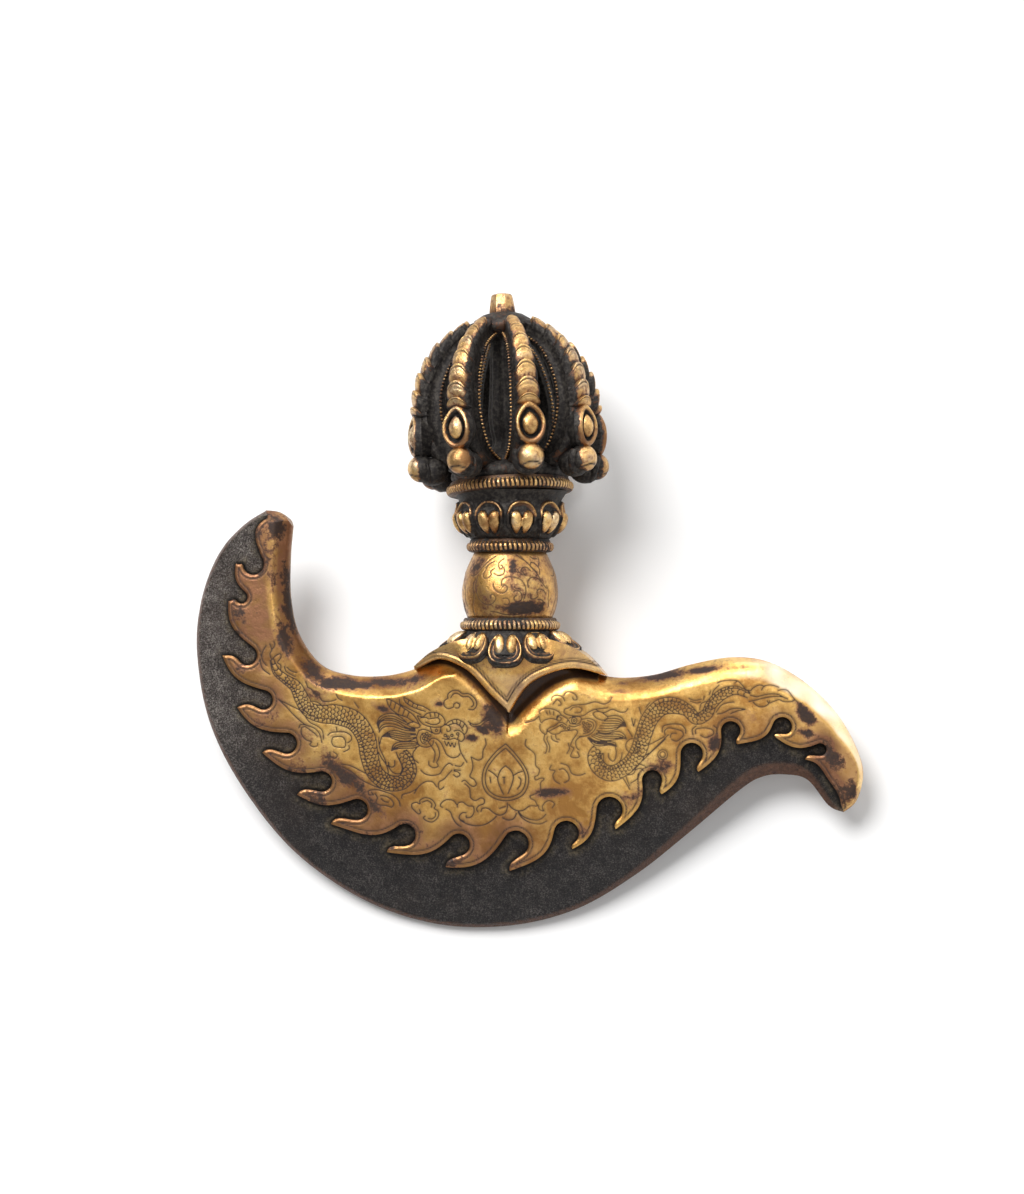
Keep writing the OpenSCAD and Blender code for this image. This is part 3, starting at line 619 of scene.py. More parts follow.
def scaled_body(line, widths, inner):
    """The strokes of a scaly body: two edges, a barred belly band and staggered scales."""
    way = smooth(np.column_stack([line, widths]), 12)
    s = lengths(way)
    even_s = np.arange(0, s[-1], 0.4)
    c = along(even_s, s, way)
    n = normals(c[:, :2])
    belly = 0.52 * inner
    out = [c[:, :2] + n * c[:, 2:] * f for f in (1, -1, belly)]

    def at(d):
        x, z, half_width = along(d, s, way)
        return np.array([x, z]), half_width, along(d, even_s, n)

    for d in np.arange(0.5, s[-1], 0.95):
        q, w, n1 = at(d)
        out.append(np.array([q + n1 * w * belly, q + n1 * w * inner]))
    bow = np.radians([-80, -40, 0, 40, 80])
    for row, d in enumerate(np.arange(0.8, s[-1] - 0.4, 0.9)):
        q, w, n1 = at(d)
        t1 = np.array([n1[1], -n1[0]])
        lo, hi = -0.98 * w, 0.5 * w
        count = max(1, round((hi - lo) / 1.12))
        wide = (hi - lo) / count
        for j in range(count + row % 2):
            o = (lo + wide * (j + 0.5 - 0.5 * (row % 2))) * inner
            arc = q + np.outer(o + 0.46 * wide * np.sin(bow), n1) + np.outer(0.55 * np.cos(bow), t1)
            if np.abs((arc - q) @ n1).max() <= w * 1.02:
                out.append(arc)
    return out


def between(a, b, n):
    """Hair drawn between two locks."""
    t = np.linspace(0, 1, 8)
    a, b = (along(t, np.linspace(0, 1, len(k)), k) for k in (a, b))
    return [(a + (b - a) * (i + 1) / (n + 1))[: 8 - i % 2] for i in range(n)]


def ring(x, z, r, n=12):
    """An engraved ring of n points."""
    t = np.linspace(0, 2 * math.pi, n)
    return np.column_stack([x + r * np.cos(t), z + r * np.sin(t)])


LEFT_DRAGON = strokes("""
-32.7,-30.7 -31.4,-31 -29.6,-32 -27.6,-33.4 -25.8,-34.6 -24.6,-36 -23.8,-37.6
-32.7,-30.7 -32.2,-32.4 -31,-33.8 -29.4,-34.8 -27.2,-35.6 -26,-36.4 -24.8,-37
-31.4,-31.2 -31.8,-32.6
-30.2,-31.9 -30.7,-33.4
-29,-32.7 -29.5,-34.2
-27.8,-33.5 -28.3,-34.9
-26.6,-34.3 -27.1,-35.4
-28,-30.2 -26.4,-31 -24.8,-32 -22.8,-32.6 -20.8,-33.7
-28,-30.2 -27.6,-31.4 -26,-32.6 -24,-33.4 -22,-34
-29.2,-30.8 -29,-32 -27.2,-33 -25.2,-34 -23.4,-34.9
-26.6,-31 -26.9,-31.9
-25.4,-31.8 -25.7,-32.6
-24.2,-32.4 -24.5,-33.1
-24.4,-35.1 -22.8,-35.4 -21.8,-34.6 -20.4,-34.2 -18.8,-34.4 -17.4,-35.4 -16.8,-36.8 -17.6,-38 \
-20,-38.2 -22.4,-37.6 -23.6,-36.6 -24.4,-35.1
-23.4,-35.7 -22,-35.6 -21.2,-36 -20,-35.8 -18.8,-35.7 -18.2,-36.5 -18.8,-37.3 -20.4,-37.5 -22.2,-36.8
-20.9,-34.5 -20.7,-35.5
-19.7,-34.3 -19.5,-35.4
-18.5,-34.8 -18.7,-35.5
-20.8,-38.3 -20.4,-39.4 -19.6,-40 -18.4,-39.8 -18.1,-38.8
-27.2,-37.6 -26.4,-37 -25,-36.9 -23.6,-37.7 -24.2,-38.4 -26,-38.2 -27.2,-37.6
-24,-39.2 -24.6,-41.2 -23.8,-43.1 -22,-43.6 -20.4,-43.1 -20,-42
-23.9,-39.2 -22.8,-38.8 -21.2,-39.2 -20.4,-39.8
-23,-39.8 -23.6,-41.2 -23,-42.5 -21.8,-42.8
-16.6,-37.4 -15.6,-36.6 -14,-36.1 -12.4,-36.5 -11.2,-37.6 -10.8,-38.8 -11.4,-40 -12,-39.8
-16,-37.7 -14.4,-37.2 -12.8,-37.8 -12,-39.2
-14.9,-36.5 -14.6,-37.2
-13.7,-36.3 -13.6,-37.2
-12.6,-36.7 -12.9,-37.6
-11.6,-37.4 -12.1,-38.3
-17.8,-39.8 -18,-38.4 -16.8,-37.6 -15.6,-38 -15.4,-39 -16.2,-39.4 -16.4,-38.8
-14.4,-39.2 -13.2,-39 -12,-39.8 -11.6,-41 -12.4,-42 -13.4,-41.4 -13.2,-40.6
-21.2,-42 -20.4,-41.2 -19.2,-41.4 -18,-42.4 -17.2,-44 -16.4,-45.6 -14.8,-46.4 -13.4,-46 -12.8,-45.2
-17,-42 -16.4,-43.2 -16,-42.2 -15.4,-43.4 -15,-42.4 -14.4,-43.6 -14,-42.4
-21.8,-41.8 -20.4,-43.6 -19.6,-45.2 -20,-47.6
-19.4,-42.4 -18.6,-44 -18.4,-45.8 -19.1,-47.5
-13.2,-42 -12.8,-44.4 -12,-46 -11,-47.6
-13.4,-41.6 -14.4,-41.2 -15.8,-41.5 -17.6,-41.3
-24.6,-43.8 -25.6,-45.2 -25.4,-46.8 -24.2,-47.8
-10.6,-36.6 -9.2,-37.4 -7.6,-37.2 -6,-36 -4.2,-35.6
-10.2,-37.3 -9.1,-38 -7.4,-37.8 -5.7,-36.6 -4.2,-36.1
-34.9,-41 -34.8,-43.2 -34.2,-45 -33.4,-46.6 -32.9,-48
-35,-45 -34.2,-46.5 -33.1,-48.1 -32.5,-49.6 -32.5,-51.2 -33.5,-52.7
-32.3,-47.7 -32.1,-48.7 -31.3,-49 -30.6,-48.5 -30.6,-47.2
-30.2,-45 -29.6,-46.5 -28.7,-48.5 -28.7,-50 -29.4,-50.8 -30.8,-50.6 -31.7,-49.8 -32.5,-48.5
-45.2,-48.3 -42.7,-48.7 -40,-50 -37.3,-51.5 -35,-53.3
-45,-49 -42.3,-50.4 -40,-52.3 -37.7,-53.5 -34.6,-54.8
-37.7,-55.4 -36.9,-55.2 -35,-55.2 -33,-55.8 -31.2,-56.5 -29.6,-58 -29.2,-59.6
-37.9,-55.6 -37.7,-56.5 -36.5,-56.5 -36.9,-56
-36,-56.2 -35.4,-57.3 -35.8,-58.5 -35,-59.2 -33,-59.4 -31.5,-59.8 -31,-58.8 -31.7,-57.7 -33,-56.9 \
-34.6,-56.7
-34.4,-57.5 -33.5,-58.3 -32.3,-58.5
-21.3,-47.5 -21.2,-48.5 -20,-49.1 -18.8,-48.7 -19.2,-47.7
-23.5,-49.8 -22.3,-50.8 -20.4,-51.2 -18.5,-50.8 -17.7,-49.8 -16.9,-48.7 -15.8,-47.9 -15,-48.3
-15,-49.7 -16.2,-51 -17.3,-52.2 -18.5,-52.9 -18.8,-54.1 -18.3,-55 -17.3,-54.3
-14.6,-50 -13.5,-50.2 -12.9,-51 -13.8,-51.6 -14.6,-51
-14.6,-49.6 -12.7,-49.8
-14.2,-48.5 -12.7,-48.7 -11.9,-47.7
-25.4,-56.2 -24.2,-54.3 -22.3,-52.9 -20.4,-52.9 -19.2,-54.3
-28.8,-57.5 -28.5,-56.4 -26.5,-55.8 -24.6,-54.8
-64.2,-20.2 -64.7,-18.6 -64.2,-17.5 -64.7,-15.9
-65.7,-16.3 -66.8,-18.2 -66.8,-20.2 -65.7,-21.7
-64.2,-20.2 -63,-19 -61.8,-18.6 -61.7,-19.6 -62.6,-20.9 -61.7,-21.7 -61.8,-23.2
-64.2,-17.5 -63.4,-16.3 -63.6,-15.2
-67.4,-20.5 -66.8,-22.5 -64.9,-24
-60.7,-21.9 -60.3,-23.2 -59.2,-24 -57.6,-24.8
-59.9,-22.3 -58.8,-23.2 -57.4,-23.6
-54.9,-25.9 -54.3,-27.5
-54.5,-27.5 -53.2,-28.2 -52.6,-29.4
-53,-31.3 -51.5,-31.7 -50.1,-32.8
-51.1,-30.2 -50.1,-31.3 -48,-31.3 -46.5,-30.9
-46.5,-29.4 -45.9,-30.5 -44.9,-31.1
-41.5,-31.5 -40.3,-33.2
-62.4,-30.9 -60.3,-32.8 -58,-35.2 -55.3,-37.5 -52.6,-38.6 -51.1,-40.2 -50.5,-42.5
-62.4,-30.9 -59.9,-32.1 -56.8,-33.6 -54.9,-34.8
-55.1,-35.3 -53.8,-37 -51.8,-38 -50.3,-39.4 -50.1,-41.7
-56.8,-38.6 -56.3,-37.7 -54.9,-37.8
-56.1,-38.6 -56.1,-40.2 -54.9,-41.7 -53.4,-42.3 -53.8,-43 -53,-43.6 -51.8,-43.4 -51.7,-42.7
-56.1,-38.5 -55.1,-38.2 -54.2,-38.8 -52.6,-39.9 -51.7,-40.8
""")
LEFT_MANE = strokes("""
-35.4,-37.4 -34.8,-35.8 -33.2,-34.8 -30.8,-34.6 -28.8,-35.6 -27.4,-36.8
-35,-38.6 -34.6,-37.2 -33,-36.4 -30,-36.8 -27.4,-38.3 -25,-38.7
-34.8,-39.6 -33.6,-38.3 -31,-38.1 -28,-39 -25,-39.4
-34.6,-42.8 -34,-40.8 -32,-39.4 -30,-39.2 -27.6,-39.8 -24.8,-40
-34,-40.8 -32,-40.9 -29.6,-41.8 -27.2,-42 -24.8,-41.2
-31.4,-44.6 -31,-43.2 -29.6,-42.3 -27.2,-42.2 -25.2,-42.1 -24,-42.9
-31.4,-44.6 -29.6,-44 -27.2,-43.9 -25.2,-43.8 -23.9,-43.3
""")
RIGHT_DRAGON = strokes("""
8.7,-34.6 8.8,-33.7 10.4,-33.1 12.3,-33.3 13.8,-34 14.6,-35
8.5,-35.2 8.8,-36.3 9.2,-36.9 10,-36.2 11.9,-35.8 13.3,-36.2
10.4,-34 10.8,-34.7
11.3,-33.8 11.5,-34.7
12.4,-34 12.4,-34.8
13.3,-36.2 13.3,-35.2 14.4,-34.9 15.4,-35.4 16.2,-36 16,-36.7
13.8,-36.9 14.8,-36.9 15.8,-37.5
8.8,-37.3 8.7,-38.3 9.2,-39.4 10.4,-40 10.6,-39 11.3,-38.3 12.7,-37.7 13.7,-36.9
10.6,-38.8 11.2,-39.4 12.3,-40 13.8,-39.8 14.6,-39.2 16.5,-39 18.3,-38.8 18.8,-39.4 18.3,-40.4
10.8,-39.4 12.7,-38.4 14.2,-37.6
11.7,-40.4 12.1,-41.5 13.5,-42.1
12.9,-40.2 13.1,-41.2 13.8,-41.4
16.5,-35.8 17.3,-35.4 19.2,-35.3 19.8,-35.8 19.4,-36.9 18.3,-37.3 16.9,-37.1 16.5,-36.3
15.2,-34.2 15.4,-33.3 16.5,-32.9 17.5,-32.3 19.2,-32.1 21.2,-31.9 23.5,-31.3 25.8,-31.9 27.3,-31.3 28.1,-30
15.2,-34.2 16.2,-34.8 18.5,-35.1 20.4,-35 21.9,-34 23.5,-33.3 25.4,-33.1 26.9,-32.9
16.9,-33.5 17.7,-32.8 19.2,-32.7 20,-33.3 19.4,-34.2 18.1,-34.3
23.5,-33.3 25.8,-34.2 28.1,-33.3 30,-34 31.5,-34 32.3,-33.1
22.9,-34.6 23.5,-34 25,-34 26.5,-35 26.9,-35.8 25.4,-36.2 23.8,-35.6 22.9,-34.6
20,-36 21.9,-35.8 23.5,-36.5 23.7,-38.1 22.7,-39.6 21.2,-40.4 19.2,-40.6
21.5,-36.3 22.9,-37 22.9,-38.3 21.9,-39.4 20.4,-39.8
16.5,-37.6 17.7,-38 19.6,-37.4
20.4,-40.6 19.2,-40.9 18.3,-41.9 18.5,-43.5 19.2,-44.2
18.3,-40.4 17.5,-41.5 16.9,-43.1 17.7,-43.8 16.9,-45.8 18.1,-46.3 19.2,-46 18.7,-44.6
16.3,-42.5 16.6,-43.8 16,-45
10,-40.2 9.8,-41.5 10.6,-43.1 10.4,-44.6 10,-45.2
10.8,-40.6 10.6,-41.5 11.3,-43.3 11.1,-44.8
11.9,-31 12.1,-30 13.3,-29.6 14.8,-30 15.4,-31
12.3,-31.9 13.3,-30.8 14.2,-31.3 14.4,-32.1 13.7,-32.3
15.2,-29.6 15.8,-28.8 16.9,-28.7 18.3,-29.4 18.7,-30.6 17.9,-30.8 17.5,-30.2
4.9,-36.9 6.9,-36.4 8.3,-35.4
34.6,-43.8 35.3,-44.3
34.2,-43.1 35.4,-43.4
34.6,-44.5 35.1,-45
33.9,-44 34.5,-45.1
35,-42.7 37.3,-42.9 39.6,-41.9 41.9,-40.6
34.6,-46 36.5,-45.8 37.7,-45
37.1,-46 38.8,-44.2 40.8,-42.3 42.9,-40.2
36.2,-47 38.2,-45 40.1,-43.3 42.3,-41.2
33.3,-35.8 33.7,-37.7
34.2,-36 33.8,-37.9
32.3,-38.8 33.3,-40.4
35.2,-32.7 35.8,-34.6
37.1,-32.7 38.1,-31.5
30.8,-51.6 32,-53.5 32.6,-54.7
31.6,-51 32.1,-52.5 32.6,-53.7
31.6,-51 33.5,-50.6 34.3,-49.5 35.5,-49.1 36.4,-49.8
33.2,-52.9 33.9,-52.5 34.7,-51.8 34.9,-50.6
33.3,-49.8 35,-48.1 36.6,-48.4
25.7,-45.2 25.8,-47.2 27,-48.3 28.9,-48.1 30.3,-46.8 30.7,-44.8
27,-45.2 27.2,-46.4 28.2,-47.2 28.9,-46.4 29.1,-44.8 28.9,-43.5
51.4,-33.3 51.8,-31.8 53.2,-31.2 54.7,-31.4
53,-32.4 52.8,-33.8
53.8,-32.3 53.5,-33.7
54.6,-32.4 54.3,-33.6
48.9,-31.1 50.5,-31.6 51.6,-31.4
48.5,-30.4 50.1,-30.9 51.6,-30.6
52.4,-30.8 52.6,-29.8
53.9,-29.5 54.3,-28.3
54.7,-29.8 55.1,-28.3 56.6,-26.8
55.8,-34 57,-32.3 58.5,-31.6 60.6,-31.3
56.2,-26.2 57.5,-25.7 59.8,-25.5 61.4,-25.7 62.5,-26.6 63.7,-28 65,-28.3
60.6,-26.4 61.4,-25.7
56,-34.5 57.5,-34.3 59.5,-33.3 61.4,-33 63.5,-33.3 61.4,-33.7 59.5,-34.5
65,-28.3 65.6,-27.6 67.2,-26.8 68.7,-27.2
67.9,-28 68.7,-27 70.6,-26.8 72.5,-27.4
72.2,-28.3 73.3,-28 74.8,-28.3 76.4,-30.3 77.5,-31.4
64.8,-29.5 66.4,-29.9 67.5,-29.7 69.8,-29.2 72.2,-29.3 74.1,-30.3
64.5,-31.2 66.4,-30.8 68.3,-30.3 70.6,-29.9 72.9,-29.9 74.8,-30.5
65.6,-31.4 66.8,-32.4 68.3,-32.6 69.5,-32 70,-31
69.3,-31 69.8,-31.6 71,-31.2 72.5,-30.7 73.7,-31.2 75.6,-31.2 76.6,-30.8
""")
RIGHT_MANE = strokes("""
26.9,-35.2 28.8,-35 30.4,-35.4 31.5,-36.9 31.7,-37.9
24,-39 26.5,-39.2 28.8,-38.8 30.4,-37.9 31.7,-37.9
24.2,-39.4 26.5,-39.7 29.6,-39.2 31.2,-40 31.9,-41.3
22.5,-40.4 24.2,-41.3 26.5,-41.7 29.6,-41.3 31.5,-41.2
21.9,-40.8 23.5,-41.7 25.4,-41.9 27.3,-41.9 28.8,-42.3 29.2,-43.3
21.5,-41 23.1,-42.7 25,-43.1 27.3,-42.9 29.2,-43.3
""")
CLOUDS = strokes("""
-16,-30.4 -16,-29.4 -14.8,-28.4 -13.2,-28.4 -12,-29.2 -10.4,-29.2 -8.8,-30.4 -8.2,-32 -9,-33.4 -10.4,-33.4
-16,-30.4 -17,-31.2 -17,-32.4 -16,-33.2 -14.6,-32.8 -14.4,-32 -13.6,-31.6 -12.8,-32.2 -13.2,-33 -14,-33
-15.2,-30.2 -14.4,-29.2 -13.2,-29.2 -12,-30 -10.4,-30 -9.3,-31.2 -9.1,-32.2 -9.8,-32.8
-48.8,-40.5 -48,-39.8 -46.5,-39.6 -44.2,-39.6 -42.6,-40.5 -42.4,-41.7 -43.4,-42.5
-47.6,-41.3 -47,-40.9 -44.9,-40.9 -44,-42.1 -44.2,-43.6 -45.3,-43.8 -47.2,-43.4 -47.8,-42.3 -47.6,-41.3
-46.5,-38.2 -46.3,-39.5
-43.1,-43.1 -43.1,-44.2 -44.6,-45
-48.3,-45 -48.1,-46.2 -46.9,-46.7 -46.3,-45.8 -47.3,-45
-26,-60 -26,-58.9 -24.8,-58.5 -23.8,-58.9 -23.8,-57.9 -22.3,-57.2 -20.6,-57.7 -19.6,-59.1 -20,-60
-23.1,-58.4 -21.7,-58 -20.6,-58.9 -20.8,-59.8
-26,-60 -25,-61 -24.2,-61.6 -23.7,-61.2 -24,-60.4
-19.8,-60.2 -18.8,-61 -19,-62.5 -20.4,-63.7 -21.9,-63.5 -22.9,-62.7 -22.5,-62.2
-19.7,-61.1 -19.7,-62.2 -20.6,-62.9 -21.7,-62.8
-17.7,-59.8 -18.3,-59.3 -17.7,-58.3 -16.5,-57.7 -14.8,-57.9 -13.8,-59.1
-13.7,-59.7 -13.5,-58.7 -12.3,-58.3 -10.8,-59.3 -9.4,-59.5 -9.2,-61 -10,-62.3 -11.2,-62.5 -11.3,-62
-11.3,-61.2 -12.3,-61.2 -13.1,-62 -13.1,-62.9 -11.9,-63.5
-16.9,-60.2 -15.6,-61 -15,-62.5 -14,-64.1 -12.7,-65
-12.9,-63.3 -10.8,-64.3 -8.5,-64.7 -6.2,-64.3 -4.2,-63.1 -3.1,-62
11.7,-48.3 11.3,-49.5 12.7,-49.8 12.1,-51 12.7,-52.5 14,-53.3
14.3,-47.8 16.2,-48.5 17.2,-50.5 19.2,-51 20.7,-50.5
13.8,-49.5 15,-49.3 16.2,-50.6 16.4,-52.2 15.2,-53
42.2,-40.2 42,-39.1 43,-38.3 44.7,-38.5 46.6,-39.1 47,-40.2 46.2,-41.2 45.1,-41.8 43.9,-41.4
41.4,-39.3 41.6,-37.9 43.2,-37.3 45.1,-37.2 46.6,-37.5 47.6,-38.7 47.6,-39.8
43.5,-40.8 43.9,-39.8 45.1,-39.7
50.3,-39.8 50.3,-38.7 51.6,-38.3 53.2,-38.3 54.7,-38.7 55.1,-39.7 54.3,-40.4 52.8,-40.8 51.6,-40.2
49.6,-40.2 49.4,-38.7 50.5,-37.7
55.1,-37.7 56,-38.5 55.8,-39.7
""")
JEWEL = strokes("""
-0.5,-42.6 2.5,-45.8 5,-49.5 5.6,-52.6 4.6,-55.6 2.6,-57.2 -0.4,-57.9 -3.6,-57.3 -6,-55.4 \
-6.9,-52.4 -6.2,-48.8 -3.4,-45 -0.5,-42.6
-0.6,-48.5 -1.9,-49.7 -2.7,-51.8 -2.3,-53.7 -1.2,-56.2
-0.6,-48.5 0.8,-49.7 1.5,-51.4 1,-53.7 0,-56
-5.2,-49.7 -3.8,-50.6 -2.8,-51.6
1.4,-51.2 2.7,-50.4 3.9,-50
2.9,-51.6 3.5,-52.2 3.3,-53.7 2.5,-54.8
-1.5,-51.6 -0.6,-51.6
-1,-51.9 -1,-53.3
-4.8,-51.6 -4.6,-53
-9.8,-46.2 -8,-47 -6.8,-46.4 -6.6,-44.4 -5.8,-42.8 -6,-41.2
-9.8,-46.4 -9.4,-48.2 -9.6,-49.8 -10.2,-51.4 -9,-52.3 -8.5,-53.5 -9.2,-54.1 -10.2,-53.7 \
-11.5,-52.5 -12.3,-52.7
-11.7,-53.3 -10.4,-54.5 -10.2,-56 -10,-57.2 -8.8,-57.9 -7.3,-57.2 -6.4,-57.6 -6.5,-58.7 -7.9,-59.3 \
-8.5,-60.2 -8.1,-61
-7.3,-60.8 -6.9,-60 -5.4,-60 -3.8,-61.2 -2.3,-61.8 -0.8,-61.2 -0.2,-59.8 -0.2,-58.5
-2.3,-60 -1.5,-59.7 -0.8,-59.5
-1.5,-62.5 0,-63.1 1.5,-62.7 2.3,-61.2
0.2,-58.9 1.2,-60 2.7,-60.6 4.2,-60.4 5.8,-59.3 7.7,-59.3
2.7,-61 3.8,-62.5 5.8,-63.7 8.5,-64.1 10.4,-63.3
2.9,-60.9 3.9,-62 5.6,-62.8 7.7,-63.1 9.2,-62.5 10.2,-61.4
8.1,-59.1 8.5,-60.2 9.6,-60.6 9.2,-59.5 10.2,-58.1 11.5,-57.9 12.5,-58.7 11.9,-59.7
6.4,-44.4 7.4,-45.6 7.5,-48.3 8.5,-49.5 8.1,-51 7.3,-51.4 7.5,-52.3 8.8,-51.8 9.8,-52 8.8,-53.1 \
8.7,-55.2 6.9,-56.2 6,-56.6 6.2,-57.3 7.3,-57.9 7.9,-59.2
6.4,-44.4 4.8,-43 5,-41.4
""")
DOTS = [
    (-22.6, -40.2), (-21.8, -39.9), (-22.7, -41.2), (-21.8, -40.8), (-21, -40.5), (-22.3, -42),
    (-21.4, -41.7), (20.4, -37), (21.4, -37.2), (22.2, -37.7), (20.6, -38), (21.6, -38.3),
    (20.8, -39), (21.8, -39.1), (14.6, -37.7), (15.4, -38.3), (16.4, -38.4), (-13.4, -40),
    (-16.8, -40.4), (-16, -40.9), (-15, -40.4),
]
RINGS = [
    (-19.2, -39.1, 0.32, 7), (17.9, -36.3, 0.75), (17.9, -36.3, 0.28, 6), (13.9, -35.9, 0.55, 9),
    (41.5, -45.4, 1.3), (41.5, -45.4, 0.75, 8), (33.6, -43.1, 1.95, 16),
]
# Which two locks of a mane have hair between them, and how many hairs
HAIR = [
    (LEFT_MANE[0], LEFT_MANE[1], 2), (LEFT_MANE[1], LEFT_MANE[2], 1),
    (LEFT_MANE[3][1:], LEFT_MANE[4], 3), (LEFT_MANE[5], LEFT_MANE[6], 2),
    (RIGHT_MANE[0], RIGHT_MANE[1], 5), (RIGHT_MANE[2], RIGHT_MANE[3], 3),
    (RIGHT_MANE[4], RIGHT_MANE[5], 2),
]
# The middle line of each dragon's body, and half its width at each point
LEFT_BODY = [
    (-64.2, -20.2), (-62.9, -23.3), (-60.4, -25.4), (-57.6, -27.4), (-56, -30.5), (-54, -33.6),
    (-50.5, -34.8), (-46.5, -34.9), (-41.5, -36.6), (-38.4, -41), (-37.5, -46), (-36, -50.5),
    (-32.5, -53.2), (-28.5, -53), (-26.5, -50), (-27.4, -47), (-28.6, -45.2),
], [0.5, 1.0, 1.2, 1.6, 1.9, 2.0, 2.3, 2.6, 2.6, 2.5, 2.4, 2.2, 2.1, 1.9, 1.8, 1.7, 1.5]
RIGHT_BODY = [
    (64.5, -29.5), (61, -28.2), (57.5, -29.2), (54.5, -32), (53.3, -34.5), (50.5, -35.8),
    (48, -33.5), (44.5, -32.3), (41, -32.8), (38, -36), (36.3, -40.5), (35, -44.5),
    (32.5, -48), (28, -50.5), (24.5, -49), (23.3, -46), (24.5, -43.8),
], [0.8, 1.1, 1.4, 1.4, 1.5, 1.5, 1.6, 2.1, 2.2, 2.2, 2.1, 2.1, 2.0, 2.0, 1.9, 1.8, 1.5]
JEWEL_MID = (-0.6, -51.5)
ENGRAVED = [
    *LEFT_DRAGON, *LEFT_MANE, *RIGHT_DRAGON, *RIGHT_MANE, *CLOUDS, *JEWEL,
    (JEWEL[0] - JEWEL_MID) * 0.87 + JEWEL_MID, *(hair for locks in HAIR for hair in between(*locks)),
    *(ring(x, z, 0.33, 7) for x, z in DOTS), *(ring(*r) for r in RINGS),
    *scaled_body(*LEFT_BODY, -1), *scaled_body(*RIGHT_BODY, -1),
]


def engraved_points():
    """Points close together on all lines, and the way across the line at each. Lines of many
    points are smooth already."""
    lines = [even(smooth(s, 5) if 2 < len(s) < 60 else s, 0.16) for s in ENGRAVED]
    return np.vstack(lines), np.vstack([normals(s) for s in lines])


# ---------------------------------------------------------------- blade and mount


def half(p):
    """The mount's half thickness."""
    return MOUNT_MID - SLOPE * np.hypot(p[:, 0], p[:, 1])


def blade_half(p):
    """The blade's half thickness, before its edge is ground."""
    return np.maximum(half(p) - CHEEK, LEAST)


def past_lobes(p):
    """How far a point lies below the lobes' upper line; under the yoke it is negative."""
    zone = np.vstack([lobes, [(30, -10), (-30, -10)]])
    return np.where(inside(p, zone), -1, 1) * distance(p, tree(even(lobes, 0.1)))


FINE = 0.42
# How far the edge is ground, by x
GRIND = (0, 30, 48, 66, 76, 84, 89), (0, 0.15, 0.55, 1, 1, 0.25, 0)


def make_blade():
    spine = even(back_tail, 2)[5:-3]
    horn = even(back_horn, 2)[2:-2]
    buried = np.vstack([spine + 4 * normals(spine), horn + 4 * normals(horn)])
    loop = np.vstack([even(np.vstack([buried, edge_line[:1]]), 2)[:-1], even(edge_line, 0.7)])
    edge_tree, flame_tree = tree(even(edge_line, 0.15)), tree(even(flame_edge, 0.2))
    looks = []

    def top(p):
        d = distance(p, edge_tree)
        run = 0.9 + 2.2 * np.interp(p[:, 0], *GRIND)
        h = blade_half(p) + 0.05 * ripples(p, 3, 9) + 0.035 * ripples(p, 4, 3)
        h = h - 3.4 * np.clip(1 - past_lobes(p) / 7, 0, 1)
        low = 0.4 + (blade_half(p) - 0.4) * np.clip(d / run, 0, 1)
        nick = 0.12 * np.clip(ripples(p, 5, 5), 0, 1) * bump(d / 1.5)
        ground = 1 - step(d, run * 0.8, run * 1.15 + 0.1)
        # Closeness to the flame edge: rust in the bays, and a painted shadow nearest the edge
        bay = np.clip(1.1 - distance(p, flame_tree) / 2.6, 0, 1)
        # A painted sheen over the left of the blade, lighter as if it reflected light
        painted_sheen = step(-p[:, 0], 30, 72) * step(p[:, 1], -62, -30)
        looks.extend(np.tile(look, 2) for look in (ground, bay, painted_sheen))
        return np.minimum(h, low) - nick

    v, f = relief(loop, FINE * 1.6, top)
    made = Parts(v, f, *looks)
    made.add(*tube([(0, 0, z) for z in TANG], [TANG_R] * len(TANG), 24), 0, 0)
    piece("blade_forged", made, IRON, "blade", 38)


